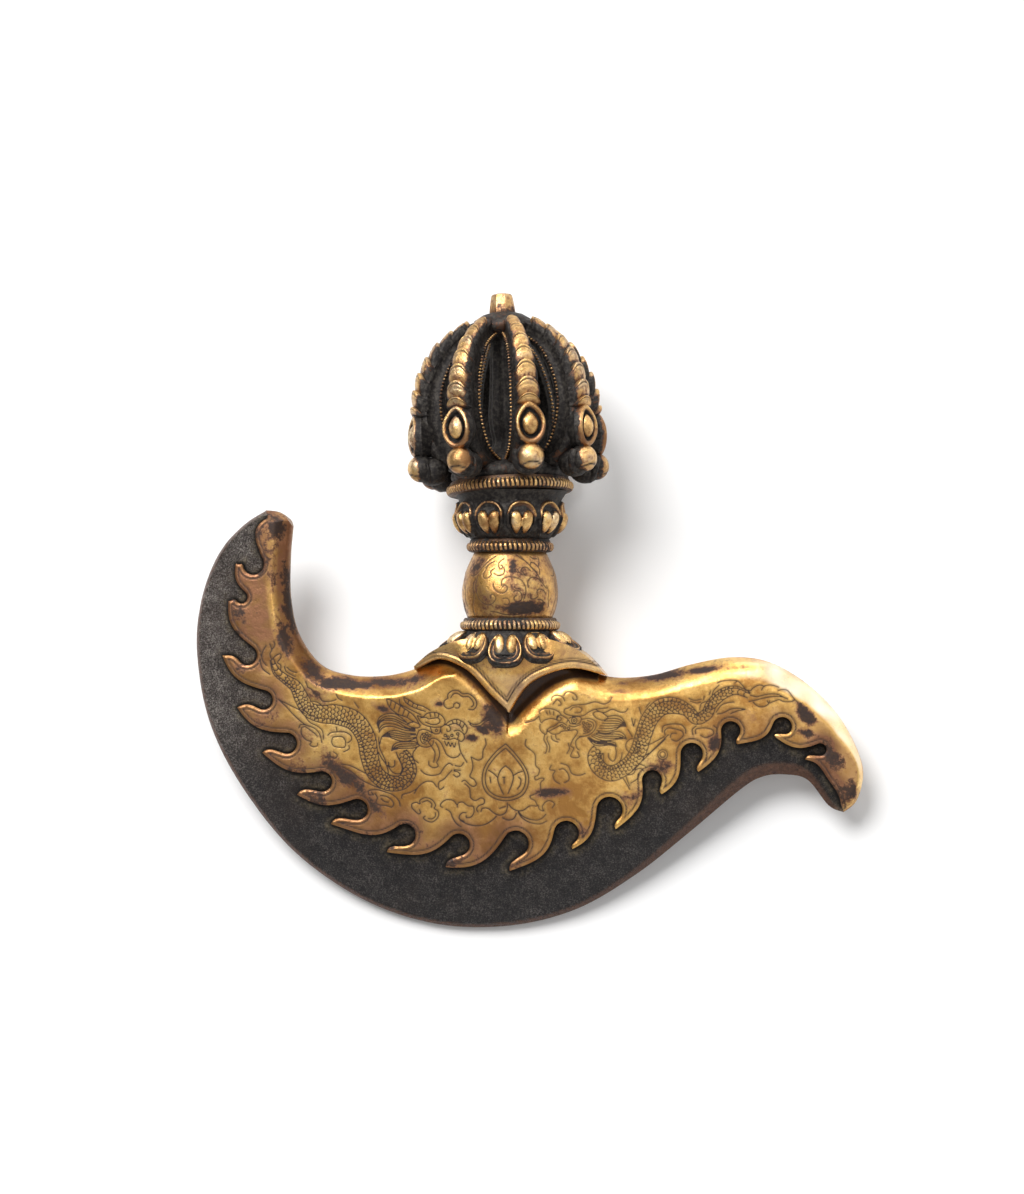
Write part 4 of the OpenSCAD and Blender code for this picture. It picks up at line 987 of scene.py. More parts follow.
# Dark brown patches on the mount: place, half lengths, turn in degrees, strength
PATCHES = [
    (-66, 8, 6, 15, 0, 0.3), (-62, -4, 6, 12, 10, 0.22), (-59.5, -6, 2.6, 14, 6, 0.5),
    (-60.5, -15, 3, 7, 20, 0.5), (-54, -22.6, 6, 2.6, -40, 0.62), (-45, -26.4, 7, 1.9, -4, 0.7),
    (-35, -26.4, 9, 1.7, 2, 0.66), (-26, -25.4, 5, 1.2, 12, 0.5), (-43.5, -52, 8.5, 2.8, -42, 0.66),
    (-37, -59, 8, 2.6, -42, 0.54), (-28, -65, 7, 2.6, -20, 0.44), (-74, -8, 3.5, 9, 0, 0.4),
    (-72, -26, 5, 7, 20, 0.34), (-66, -40, 7, 5, 30, 0.36), (-58, -50, 8, 4, -30, 0.34),
    (-50, -60, 9, 3.4, -35, 0.42), (-36, -69.5, 9, 3.4, -15, 0.44), (-16, -74, 6, 3, -10, 0.4),
    (2, -75, 5, 3, 0, 0.34), (-33.5, -33.4, 2.6, 1.1, -14, 0.66), (-18.3, -32, 1.2, 0.7, 0, 0.55),
    (-3.5, -36, 3, 5, 20, 0.56), (-6.8, -38.8, 2.4, 1.1, -25, 0.62), (-9.6, -41, 1.8, 1, -10, 0.55),
    (-5, -38, 3, 1.6, 0, 0.46), (12.5, -55.6, 6, 1.7, 4, 0.62), (24, -62, 3, 4, 0, 0.3),
    (42, -48.5, 3.5, 2.4, 20, 0.42), (20, -66, 5, 3, 30, 0.34), (34, -57, 4, 3, 30, 0.3),
    (55.4, -42, 2.2, 2.8, 0, 0.62), (40, -24.6, 9, 1.2, 10, 0.5), (52, -22.8, 7, 0.9, 8, 0.5),
    (31, -26.4, 3, 0.7, 0, 0.4), (62, -22.2, 6, 0.8, 0, 0.36), (30, -28.6, 3, 0.7, 0, 0.36),
    (79.6, -34.5, 4, 1.8, -58, 0.6), (79.5, -39.5, 2.6, 1.6, 0, 0.5), (86, -46, 6, 3.6, -55, 0.46),
    (91, -56, 3.4, 6, 10, 0.36), (66, -36, 3, 2, 0, 0.28), (-8, -25, 9, 2.4, -40, 0.5),
    (9, -28, 7, 2, 40, 0.4), (-63, 16, 3.2, 4, 0, 0.4), (-52, -30, 4, 2, -30, 0.3),
]


def patches(p):
    """How brown the patches make a point of the mount."""
    out = np.zeros(len(p))
    for x, z, a, b, turn, amount in PATCHES:
        c, s = math.cos(math.radians(turn)), math.sin(math.radians(turn))
        u, w = p[:, 0] - x, p[:, 1] - z
        q = ((u * c + w * s) / a) ** 2 + ((w * c - u * s) / b) ** 2
        out = np.maximum(out, 1.4 * amount * np.exp(-q * 0.9))
    return out


# How wide the bevel is along the tail, by x
TAIL_BEVEL = (0, 60, 78, 88, 92.5, 94), (6.2, 6.1, 5.2, 3.3, 1.6, 1.2)


def make_mount():
    loop = np.vstack([
        even(back_tail[:-1], 0.6), even([back_tail[-1], back_horn[0]], 0.8)[1:],
        even(back_horn, 0.6)[1:], even(horn_cap, 0.6)[1:], even(flame_edge, 0.4)[:-1],
    ])
    loop = loop[np.linalg.norm(np.roll(loop, -1, axis=0) - loop, axis=1) > 0.05]
    back_tree = tree(np.vstack([even(back_tail, 0.15), even(back_horn, 0.15)]))
    flame_tree = tree(even(flame_edge, 0.1))
    cut, across = engraved_points()
    cut_tree = tree(cut)
    detail = None
    banks = np.vstack([cut + 0.24 * across, cut - 0.24 * across])
    detail = np.vstack([thin(cut[::2], 0.12), thin(banks[distance(banks, cut_tree) > 0.17], 0.14)])
    marks = []

    def top(p):
        x, z = p.T
        full = half(p)
        d, e, c = (distance(p, line) for line in (back_tree, flame_tree, cut_tree))
        # The bevel at the back is flat on the horn's side and hollow along the tail
        tail = x >= 0
        toward_tip = step(x, 50, 75)
        land = np.where(tail, 0.7, LAND)
        run = np.where(tail, np.interp(x, *TAIL_BEVEL), np.minimum(5.8, full - land))
        t = np.clip(d / run, 0, 1.2)
        t = np.where(tail, 1 - np.sign(1 - t) * np.abs(1 - t) ** (1.5 - 0.4 * toward_tip), t)
        bevel = land + (full - land) * t - 0.75 * np.clip(1 - d / 1.1, 0, 1) ** 2
        soft = np.where(tail, 0.5 - 0.28 * toward_tip, 0.36)
        h = np.minimum(full, bevel) - 0.25 * soft * bump((bevel - full) / (2 * soft))
        a, b = np.array(HORN_END, float)
        way = (b - a) / np.linalg.norm(b - a)
        into = (p - a) @ np.array([-way[1], way[0]])
        h = np.minimum(h, np.maximum(LAND + (full - LAND) * into / 2.6, 0.6))
        # The lobes roll down under the yoke
        side = past_lobes(p)
        roll = np.clip(1 - side / np.where(tail, 5.2, 3.2), 0, 1) ** 2
        h = np.minimum(h, full - np.where(tail, 2.8, 1.6) * roll - 0.9 * np.clip(-side, 0, 1))
        # Raised rim along the flames with a cut line inside it, then the engraving
        h = h - 0.4 * np.clip(1 - e / 0.6, 0, 1) ** 2 - 0.13 * bell((e - 1.05) / 0.2)
        h += 0.05 * ripples(p, 7, 12) * step(e, 0.5, 3)
        # Dark in the cut line inside the rim, and painted shade in the groove where the lobes roll under
        # the yoke
        dirt_and_shade = np.maximum(0.9 * bell((e - 1.05) / 0.24), 0.95 * step(side, 1.3, 0.1) * (np.abs(x) < 24))
        dirt_and_shade = np.maximum(dirt_and_shade, np.where(x > 6, 0.82, 0.95) * bell(c / 0.23))
        # Brown on the horn, the flames' tips and the tail, and a trace of it in the middle
        horn = 0.95 * step(z, -27, -12) * step(-x, 50, 54) * (1 - 0.75 * bump((d - 4.3) / 2))
        tips = 0.85 * step(-e, -7.5, -1.5) * step(-x, -22, 4)
        end = 0.5 * step(-e, -5, -1) * step(x, 30, 60)
        end += 0.7 * step(x, 76, 86) * step(d, 0.8 * run, 1.15 * run)
        dull = 0.16 * np.exp(-(((x + 4) / 24) ** 2) - ((z + 52) / 15) ** 2)
        brown = np.maximum(np.maximum(horn, tips), np.maximum(end, dull))
        worn = np.maximum(patches(p), 0.32 * np.maximum(0.7 * horn, np.maximum(tips, end)))
        # The tail's bevel gets a painted glare: its gilding turns pale where a highlight falls
        pale = (0.66 + 0.3 * ripples(p, 37, 7)) * step(x, 56, 74) * step(d, 1.02 * run, 0.74 * run)
        pale = pale * (1 - 0.7 * step(-z, 42, 56))
        marks.extend([(1 + pale - worn, 0.75), (dirt_and_shade, 0.5), (brown, 0.5)])
        return h - 0.07 * bell(c / 0.2)

    def bottom(p):
        return np.where(distance(p, flame_tree) < 0.3, blade_half(p) - 0.35, 0.0)

    v, f = relief(loop, FINE, top, bottom, detail)
    looks = [np.append(look, np.full(len(v) - len(look), rest)) for look, rest in marks]
    for name, node, turn in (("mount_front", "front_cheek", 1), ("mount_rear", "rear_cheek", -1)):
        piece(name, Parts(v * (1, turn, 1), f, *looks), GILT, node, 40)


make_blade()
make_mount()

# ---------------------------------------------------------------- yoke

COLLAR_TOP = -12.3
YOKE_TIP = (0.6, -34.2)
YOKE_HORN = [
    (-25.8, -22), (-25.3, -22.9), (-24, -22.2), (-18, -19.9), (-10.5, -22.8), (-4, -29.6), YOKE_TIP,
]
YOKE_TAIL = [YOKE_TIP, (5, -27.6), (10.5, -24), (18, -22.3), (26.3, -24.4)]
YOKE_TOP = [
    (26.3, -24.4), (20, -18.2), (11, -14.5), (0, -14.5), (-11, -14.5), (-20, -17.6), (-25.8, -22),
]


def make_yoke():
    arcs = np.vstack([smooth(YOKE_HORN, 10), smooth(YOKE_TAIL, 10)[1:]])
    loop = np.vstack([even(arcs, 0.4)[:-1], even(smooth(YOKE_TOP, 8), 0.6)[:-1]])
    arc_tree = tree(even(arcs, 0.1))
    looks = []

    def top(p):
        x, z = p.T
        slab_half = np.interp(z, [-34.2, -19.5, -16, -14.5], [9.9, 13.2, 12.6, 11.5])
        plan_half = np.interp(np.abs(x), [0, 5, 12, 19, 27], [13.5, 13.2, 11.8, 8.4, 3.2])
        # The lesser of the two, rounded where they meet
        k = 0.9
        h = -k * np.log(np.exp(-slab_half / k) + np.exp(-plan_half / k))
        d = distance(p, arc_tree)
        h = h - 0.5 * np.clip(1 - d / 0.6, 0, 1) ** 2 + 0.2 * bump((d - 0.9) / 0.9)
        h = h - 0.16 * bell((d - 1.9) / 0.2) - 0.1 * bell((d - 2.6) / 0.16)
        dirt_and_shade = np.maximum(bell((d - 1.9) / 0.26), 0.7 * bell((d - 2.6) / 0.2))
        # Worn round the foot of the lotus and along the left arc; elsewhere a little painted glare makes
        # the gilding paler
        foot = bell((x - 0.5) / 11) * step(z, -25.5, -20)
        worn = 0.5 * foot + 0.3 * np.exp(-(((x + 6) / 4) ** 2 + ((z + 28.5) / 3) ** 2)) - 0.14
        looks.extend([np.tile(1 - worn, 2), np.tile(dirt_and_shade, 2)])
        return h + 0.05 * ripples(p, 11, 8)

    v, f = relief(loop, FINE, top)
    piece("yoke_canopy", Parts(v, f, *looks), GRIP, "yoke", 40)


# ---------------------------------------------------------------- handle


def frame_of(a):
    """Gives what turns (outward, sideways, up) at the azimuth a, in degrees, into x, y, z."""
    s, c = math.sin(math.radians(a)), math.cos(math.radians(a))
    return lambda v: np.column_stack([v[:, 0] * s + v[:, 1] * c, -v[:, 0] * c + v[:, 1] * s, v[:, 2]])


def make_lower_lotus():
    """Ten drooping petals on a core; each is drawn from its middle, at u = 0, to its edge."""
    core = [
        (12.5, COLLAR_TOP), (13.2, -13.4), (13.9, -15.4), (15.1, -18.6), (9, -18.6), (9, COLLAR_TOP),
    ]
    made = Parts(*lathe(core, 96)[:2], 0.12, 0.6)
    rows, cols = ((34, 84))
    u, t = np.meshgrid(np.linspace(0, 1, rows), around(cols), indexing="ij")
    cosine, sine = (u * np.sign(w) * np.abs(w) ** 0.7 for w in (np.cos(t), np.sin(t)))
    n = rows * cols
    faces = sheet(rows + 1, cols, True) + [(n + j, n + (j + 1) % cols, n + cols) for j in range(cols)]
    for az in range(0, 360, 36):
        side = math.sin(math.radians(az)) ** 2
        root = np.array([11.3, COLLAR_TOP - 1])
        end = np.array([15.6 + 4.4 * side, COLLAR_TOP - 9.5 + 3.8 * side])
        length = np.linalg.norm(end - root)
        out = (end - root) / length
        lift_way = np.array([-out[1], out[0]])
        down = length * (0.5 + 0.5 * cosine) - 0.2
        across = 5.0 * sine * (0.74 + 0.26 * step(down / length, 0.0, 0.6))
        # A lip round the petal, then the inner leaf with its notch
        lift = 1.05 + 0.5 * bump((u - 0.86) / 0.13) - 0.55 * step(u, 0.9, 1.0)
        notch = 0.1 * bell(across / 0.9)
        lift += 0.42 * bump((u - 0.64 + notch * 1.6) / 0.12) - 0.25 * step(u, 0.74, 0.66)
        gild = 0.32 + 0.45 * bump((u - 0.86) / 0.12) + 0.35 * bump((u - 0.62) / 0.14)
        for y in (-1.6, 1.6):
            off = np.abs((down - length * 0.34) / (length * 0.3))
            q = np.abs((across - y) / 1.4) ** 2.3 + off ** 2.3
            lift = np.maximum(lift, 0.75 + 1.5 * np.sqrt(np.clip(1 - q, 0, 1)))
            gild = np.where(q < 0.93, 0.98, gild)
        droop = -1.1 * np.clip(down / length, 0, 1) ** 3 * (0.4 + 0.6 * (1 - side))
        dirt_and_shade = np.clip(0.9 - np.abs(lift - 0.8) * 1.5, 0, 1) * (gild < 0.9)
        # The upper face, the rim of the underside and its middle
        down, across, lift = (np.append(face.ravel(), [*rim, mid]) for face, rim, mid in (
            (down, down[-1], length * 0.5), (across, across[-1], 0.0),
            (lift + droop, droop[-1] - 0.5, -0.6)))
        p = root + np.outer(down, out) + np.outer(lift, lift_way)
        made.add(frame_of(az)(np.column_stack([p[:, 0], across, p[:, 1]])), faces, gild, dirt_and_shade)
    piece("lotus_drooping", made, DARK, "lower_lotus", 50)


def cord_ring(name, node, d, h, z, teeth, gild, placed=None, bore=BORE_R):
    """A ring whose rim is cut like a twisted cord."""
    r = d / 2
    rim = [
        (r - 1.5, 0), (r - 0.7, h * 0.06), (r - 0.25, h * 0.16), (r, h * 0.3), (r + 0.05, h * 0.42),
        (r, h * 0.54), (r - 0.25, h * 0.66), (r - 0.8, h * 0.74), (r - 0.9, h * 0.84), (r - 1.3, h),
    ]

    def twist(a, up):
        return np.clip(-np.cos(a * teeth + (up / h) * 1.6), 0, 1)

    def cut(a, k, r, z):
        return r - np.where((k > 2) & (k < 8), 0.42 * twist(a, z) ** 0.7, 0), z

    v, f, a, k = lathe([(bore, 0), *rim, (bore, h)], teeth * (10), cut)
    v = v + (0, 0, z)
    groove = twist(a, v[:, 2] - z)
    mid = (k > 2) & (k < 9)
    gild = np.where(mid, gild, gild - 0.3) - 0.5 * groove * mid
    piece(name, Parts(v, f, gild, np.where(mid, groove * 0.9, 0.55)), DARK, node, 55, placed)


# Scrolls cut in the grip as seen from the front; they come three times round
SCROLLS = strokes("""
-9.2,2.1 -9.4,-0.3 -9,-2.4 -8.1,-4.3 -6.5,-5.4 -5,-5.1 -4,-4 -4.1,-3.1 -4.8,-2.6 -5.4,-3.1 -5.3,-3.7
-7.6,4.6 -6.5,5.6 -5,6.4
-7,5 -7.4,3.6 -7.8,2.7 -7.3,1.8 -6.2,1.8 -5.5,2.7 -5.8,3.6 -4.7,4.4
-2,7 -3.1,6.4 -3.6,5.5 -3.3,4.6 -2.6,4.2 -2.3,4.9 -2.8,5.3
-1.9,4.7 -1.6,3.8 -2,2.7 -3.4,2.4 -4.7,3
-2.3,-0.3 -2.2,1 -1.4,1.8 0,2.1 1.9,1.8 3.3,1 4.2,-0.6 4.2,-2.4 3.7,-4
0.9,-2 1.6,-1.6 2.5,-1.8 3.2,-2.8 3.1,-4 2.2,-4.6 1.2,-4.2 1.1,-3.4 1.7,-2.9
-4.7,0.4 -4.5,-0.9 -3.4,-2 -2,-2.3 -1,-1.7 -0.8,-0.7 -1.6,-0.1 -2,-0.7
-1.9,-3.7 -0.8,-3.7 -0.2,-4.5 -0.6,-5.4 -1.7,-5.2
0.2,-5.2 1.6,-5.6 3,-5.2
-5.6,-7.1 -3.7,-7.4 -1.6,-8 1.6,-8.1 4,-7.6
2.2,8 3.7,7 5.3,6 6.5,4.4 7.8,2.8 8.7,0.7 9.8,-0.9
3.4,7.8 5.9,5.3 7.8,3.3
2.2,4.1 2.6,3.3 3.7,2.7 4.4,2.5 3.7,3.3 3.3,3.9 3.9,4.6 5,4.6 5.9,3.8
5,-0.7 4.9,0.7 5.9,1.9 7.5,1.8 8.6,0.7
10,-0.3 10.4,-1.8 10.3,-3.7 10.6,-5.6
5.4,-2.4 5.6,-3.7 6.5,-3.8 7.5,-3.1 7.2,-2 7.8,-1.2 9,-1.5 9.5,-2.4
7.5,-4 8.4,-4 9.2,-4.8 8.9,-5.7 7.8,-5.6 7.5,-4.8
-11,2.5 -10,2.5 -9,3.6 -8.2,4.9 -6.8,6.6 -5,7.7
-10.6,-8 -10.4,-5.6 -9.8,-3.1 -10.1,-0.3 -9.6,1.6
6.2,5.3 6.7,6 7.8,5.6 8.6,4.4 8.4,2.8
8.6,5 9.2,6 9.4,7.4
6.8,7.6 7.6,7 8.8,7
""")


def make_grip():
    outer = [(11.5, -8.8), (12.5, -6), (12.98, -2.1), (12.35, 2.6), (11.05, 6), (9.7, 8.8)]
    outer = smooth(outer, 20)
    v, f, a, k = lathe(np.vstack([outer, outer[::-1] - (1.4, 0)]), 520)
    front = k < len(outer)
    a = (a + math.pi) % (2 * math.pi) - math.pi
    # The bulb unrolled, with the scrolls that are seen from the front laid on it
    r = 12.6
    plane = np.column_stack([a * r, v[:, 2]])
    seen = np.vstack([even(smooth(w, 5), 0.12) for w in SCROLLS])
    unrolled = np.column_stack([r * (np.arcsin(seen[:, 0] / 13.1) + 0.096), seen[:, 1]])
    scroll = tree(np.vstack([unrolled + (q * r * 2 * math.pi / 3, 0) for q in (-2, -1, 0, 1, 2)]))
    line = np.zeros(len(v))
    line[front] = bell(distance(plane[front], scroll) / 0.17)
    out = np.column_stack([np.sin(a), -np.cos(a)])
    v[:, :2] += out * (np.where(front, 0.06 * ripples(plane, 21, 9) - 0.07 * line, 0))[:, None]
    # Worn low in front, at a spot over the middle and at the foot
    low = np.exp(-(((plane[:, 0] - 5) / 7) ** 2 + ((plane[:, 1] + 6.2) / 2.1) ** 2))
    spot = np.exp(-(((plane[:, 0] - 2) / 1.8) ** 2 + ((plane[:, 1] - 5) / 2.4) ** 2))
    foot = step(-v[:, 2], 6, 9.5) * 0.3
    gone = np.maximum(np.maximum(0.9 * low, 0.66 * spot), foot)
    gone = np.maximum(gone, 0.22 + 0.1 * ripples(plane, 33, 12))
    dirt_and_shade = np.maximum(line * 0.9, 0.25 * step(v[:, 2], 7.4, 8.8))
    piece("grip_bulb", Parts(v, f, 1 - gone, dirt_and_shade), GRIP, "grip_shell", 60)


def make_upper_lotus():
    foot, r, top = 12.5, 14.2, 25.4
    body = smooth([(10.7, foot), (13, 14.9), (r, 18.5), (13.6, 22.1), (15.6, top)], 6)
    made = Parts(*lathe(np.vstack([body, [(3.6, top), (3.6, foot)]]), 120)[:2], 0.14, 0.7)
    rows, cols = ((46, 40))
    z, u = np.meshgrid(np.linspace(12.9, 22.9, rows), np.linspace(-4.4, 4.4, cols), indexing="ij")
    base = np.interp(z, body[:, 1], body[:, 0])
    half_width = 3.95 * np.interp(z, [12.9, 16, 20, 22.9], [0.74, 0.98, 1.03, 1.0])
    # q is 0 in the petal's middle and 1 at its edge; it has a rim, an inner line and two lobes
    q = (np.abs(u) / half_width) ** 2.4 + (np.abs(z - 17.4) / np.where(z > 17.4, 5.0, 5.6)) ** 2.4
    rim = bump((q - 0.82) / 0.36)
    inner = bump((q - 0.5) / 0.12) * (z > 18)
    lift = np.where(q < 1.3, 0.12, -0.5) - 0.35 * step(q, 1.05, 1.3)
    lift += (0.55 + 0.45 * step(z, 15, 18)) * rim + 0.3 * inner
    gild = 0.2 + 0.6 * rim * step(z, 16, 20) + 0.15 * inner
    wide = 1.5 * np.interp(z, [13.6, 16, 19.6], [0.62, 1.0, 1.06])
    for y in (-1.62, 1.62):
        off = np.abs(u - y * np.interp(z, [13.6, 19], [0.75, 1.0])) / wide
        g = off ** 2.3 + (np.abs(z - 16.7) / 3.1) ** 2.3
        lift = np.maximum(lift, (0.25 + 1.35 * np.clip(1 - g, 0, 1) ** 0.45) * (g < 1))
        gild = np.where(g < 0.9, 0.97 - 0.25 * step(z, 16, 13.6), gild)
    dirt_and_shade = np.clip(0.9 - np.abs(lift - 0.15) * 1.6, 0, 1) * (gild < 0.9)
    for i in range(10):
        a = math.radians(18 + 36 * i) + u / r
        petal = np.vstack([turned(a, base + lift, z), turned(a, base - 1.0, z)])
        made.add(petal, slab(rows, cols), gild, dirt_and_shade)
    piece("lotus_upright", made, DARK, "upper_lotus", 60)


# ---------------------------------------------------------------- vajra

PIVOT = 24.5
LEAN_BACK, LEAN_SIDE, TURN = 4, 2.8, -3.5
PLATE = 3.6
PRONG_BACK = [
    (9, 5.4), (15.5, 5.9), (21.2, 9.6), (24.4, 16), (25, 23), (23.4, 31.5), (19, 39.4), (12, 45.4),
    (5, 48.2),
]
PRONG_BELLY = [(9, 9.4), (14.6, 13), (17.6, 21.5), (16.6, 30), (12, 38), (5, 42.6)]
# Where each scale's hood ends along a prong's back, by height
SCALE_TOPS = [24.2, 28.8, 33.3, 37.5, 41.2, 44.4, 46.8]
# How wide a prong's sides and belly are from below its back to its middle, as parts of half_wide
LIP = np.array([0.93, 0.84, 0.8, 0.82, 0.95, 0.95, 0.78])
BOSS_Z = 15.7
BALL, BALL_R = (24.2, 0, 7.3), 3.7


def lean(v):
    """From the vajra's own leaning frame to the object's."""
    a, b = math.radians(-LEAN_BACK), math.radians(-LEAN_SIDE)
    rx = np.array([[1, 0, 0], [0, math.cos(a), -math.sin(a)], [0, math.sin(a), math.cos(a)]])
    ry = np.array([[math.cos(b), 0, math.sin(b)], [0, 1, 0], [-math.sin(b), 0, math.cos(b)]])
    return np.asarray(v) @ (ry @ rx).T + (0, 0, PIVOT)


def stations(line, n):
    """The smoothed line with n points evenly spread over its length."""
    line = smooth(line, 10)
    s = lengths(line)
    return along(np.linspace(0, s[-1], n), s, line)


def half_wide(z):
    """Half the width of a prong at a height."""
    return np.interp(z, [0, 24, 36, 50], [3.3, 3.3, 2.7, 1.5])


def across_back(v, w):
    """How far the rounded back falls away from its ridge at v, from -1 to 1."""
    return w * 0.62 * (1 - np.sqrt(np.clip(1 - np.abs(v) ** 2.4, 0, 1)))


def make_scale(made, s, spine, low, tip):
    """One shell on a prong's back, its rows laid along the arch of its hood."""
    rows, cols = ((24, 19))
    v = np.linspace(-1, 1, cols)
    q = np.array([*np.linspace(0, 0.7, rows // 2), *np.linspace(0.72, 1, rows - rows // 2)])
    size = half_wide(spine[np.searchsorted(s, low).clip(0, len(s) - 1), 1]) / 3.3
    grid = low + np.outer(q, tip - 3.5 * size * np.abs(v) ** 2.2 - low)
    at = along(grid, s, spine)
    back, normal, inward = at[..., :2], at[..., 2:4], at[..., 4:]
    w = half_wide(back[..., 1])
    fall = across_back(v, w)[..., None] * inward
    lift = 1.6 * size * np.sin(np.clip(q / 0.86, 0, 1) * math.pi / 2) ** 1.2 - 0.1
    lines = bump((q - 0.8) / 0.06), bump((q - 0.66) / 0.05)
    lift = lift - 0.24 * lines[0] - 0.16 * lines[1] - 1.9 * step(q, 0.9, 1.0) ** 1.5
    lift = lift[:, None] * (1 - 0.3 * np.abs(v) ** 3)
    spread = w * v * (1.02 + 0.06 * np.clip(lift, 0, 1.5))
    shell = [
        np.column_stack([pos[..., 0].ravel(), across.ravel(), pos[..., 1].ravel()])
        for pos, across in ((back + lift[..., None] * normal + fall, spread),
                            (back - 0.9 * normal + fall, spread * 0.9))
    ]
    gild = (0.5 + 0.36 * step(q, 0.15, 0.6))[:, None] * (1 - 0.62 * step(np.abs(v), 0.6, 0.97))
    dirt_and_shade = np.repeat(0.7 * lines[0] + 0.5 * lines[1] + step(q, 0.93, 1.0), cols)
    rub = (0.75 * step(q, 0.5, 0.1))[:, None] + 0.7 * step(np.abs(v), 0.35, 0.9)
    made.add(np.vstack(shell), slab(rows, cols), gild, dirt_and_shade, rub)


def make_prong_body(made, n):
    """The prong's body. Gives the length along its back and what lies there: the point, the
    way out and the way in."""
    m = 19
    back, belly = stations(PRONG_BACK, n), stations(PRONG_BELLY, n)
    way = np.gradient(back, axis=0)
    way /= np.linalg.norm(way, axis=1)[:, None]
    normal = np.column_stack([way[:, 1], -way[:, 0]])
    depth = np.linalg.norm(back - belly, axis=1)
    inward = (belly - back) / depth[:, None]
    v = np.linspace(-1, 1, m)
    rows = []
    for k, w in enumerate(half_wide(back[:, 1])):
        pos = back[k] - 0.25 * normal[k] + np.outer(across_back(v, w), inward[k])
        # Down one side, across the belly and up the other; a lip stands along each inner edge
        start = 0.62 * w + 0.3
        steps = np.linspace(start, max(depth[k], start + 0.3), len(LIP))
        down = back[k] + np.outer(steps, inward[k])
        pos = np.vstack([pos, down, down[::-1]])
        rows.append(np.column_stack([pos[:, 0], [*(w * v), *(LIP * w), *(-LIP[::-1] * w)], pos[:, 1]]))
    rest = 2 * len(LIP)
    looks = [np.tile([band] * m + [hid] * rest, n) for band, hid in ((0.32, 0.12), (0.3, 0.7))]
    made.add(np.vstack(rows), barrel(n, m + rest), *looks)
    return lengths(back), np.column_stack([back, normal, inward])


def make_boss(made):
    """The oval boss: a thick rim that comes to a point above, a groove and a gilt oval."""
    rows, cols = ((28, 56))
    q, t = np.meshgrid(np.linspace(0, 1, rows), around(cols), indexing="ij")
    side = 4.6 * q * np.cos(t) * (1 - 0.08 * np.abs(np.sin(t)) ** 3)
    up = 6.1 * q * np.sin(t) * (1 + 0.14 * np.clip(np.sin(t), 0, 1) ** 6)
    oval = 0.1 + 1.9 * np.sqrt(np.clip(1 - (q / 0.5) ** 2, 0, 1))
    out = np.where(q < 0.5, oval, 0.1 - 0.25 * bump((q - 0.55) / 0.08))
    out += 1.35 * bump((q - 0.78) / 0.3) + 0.1 * bump((q - 0.63) / 0.05) - 0.9 * step(q, 0.86, 1.0)
    out += 25.4 - 0.022 * up * up
    boss = np.column_stack([out.ravel(), side.ravel(), (BOSS_Z + up).ravel()])
    foot = np.column_stack([np.full(cols, 21.2), side[-1] * 0.7, BOSS_Z + up[-1] * 0.84])
    gild = np.where(q < 0.46, 0.92, 0.1) + 0.85 * bump((q - 0.78) / 0.24)
    rub = 0.8 * step(q, 0.5, 0.62) * step(t, 2.2, 4.4)
    n = rows * cols
    faces = sheet(rows + 1, cols, True) + [tuple(range(n, n + cols))]
    made.add(np.vstack([boss, foot]), faces, gild, 0.95 * bump((q - 0.57) / 0.12), rub)


def make_snout(made):
    """The ball, with a cut line, in the dark curl that holds it."""
    v, f = dome(BALL, (BALL_R, 3.75, BALL_R), 24, 36)
    crease = np.abs((v[:, 2] - BALL[2]) + 0.13 * v[:, 1] ** 2 + 1.7)
    v = v - 0.16 * bell(crease[:, None] / 0.22) * (v - BALL) / BALL_R
    facing = (v[:, 0] - BALL[0]) / BALL_R
    rub = np.maximum(0.45 * step(BALL[2] - v[:, 2], -1.5, 2.5), 0.5 * step(facing, 0.75, 0.45))
    made.add(v, f, 0.32 + 0.6 * step(facing, 0.1, 0.66), bell(crease / 0.26), rub)
    v, f = dome((21.2, 0, 6.4), (4.3, 4.0, 3.7), 20, 28)
    made.add(v, f, 0.12 + 0.3 * step(v[:, 0], 23.6, 25.4), 0.5)
    # The curl's lip, wound from the left under the ball
    a = np.radians(np.linspace(150, 372, 22))
    lip = np.column_stack([23.2 + 0.9 * np.sin(a), 3.75 * np.cos(a), BALL[2] + 3.75 * np.sin(a)])
    made.add(*tube(lip, np.interp(np.arange(22), [0, 8, 21], [1.15, 1.0, 0.35]), 12), 0.34, 0.3)


def make_prong(number):
    """A prong is drawn as (outward, sideways, up) in the vajra's frame."""
    made = Parts()
    s, spine = make_prong_body(made, 90)
    tops = np.interp(SCALE_TOPS, spine[:, 1], s)
    lows = np.append(np.interp(20.4, spine[:, 1], s), tops[:-1] - 2.4)
    for low, tip in list(zip(lows, tops))[::-1]:
        make_scale(made, s, spine, low, tip)
    # A row of beads along both inner edges
    for b, o in zip(stations(PRONG_BELLY, 46)[1:-2], stations(PRONG_BACK, 46)[1:-2]):
        c = b + (o - b) / np.linalg.norm(o - b) * 1.3
        for side in (-0.97, 0.97):
            at = c[0], side * half_wide(o[1]), c[1]
            made.add(*dome(at, (0.44, 0.56, 0.33), 6, 10), 0.68, 0.0, 0.25)
    make_boss(made)
    make_snout(made)
    out = frame_of(TURN + 45 * (number - 0.5) + (-3.5 if number == 2 else 0))
    piece(f"prong_{number}_cast", made, DARK, f"prong_{number}", 42, lambda v: lean(out(v)))


def make_hub():
    rim = [
        (3.2, PLATE), (15, PLATE), (15.6, 4.6), (15.8, 5.4), (15.2, 6.4), (14.4, 7.2), (12, 7.9),
        (9.4, 8.2), (7.3, 8.2), (7.3, 5.1), (3.2, 5.1),
    ]

    def scallop(a, k, r, z):
        return r + 0.2 * np.cos(a * 24) * ((k > 1) & (k < 6)), z

    made = Parts(*lathe(rim, 120, scallop)[:2], 0.2, 0.6)
    piece("vajra_base", made, DARK, "vajra_hub", 50, lean)


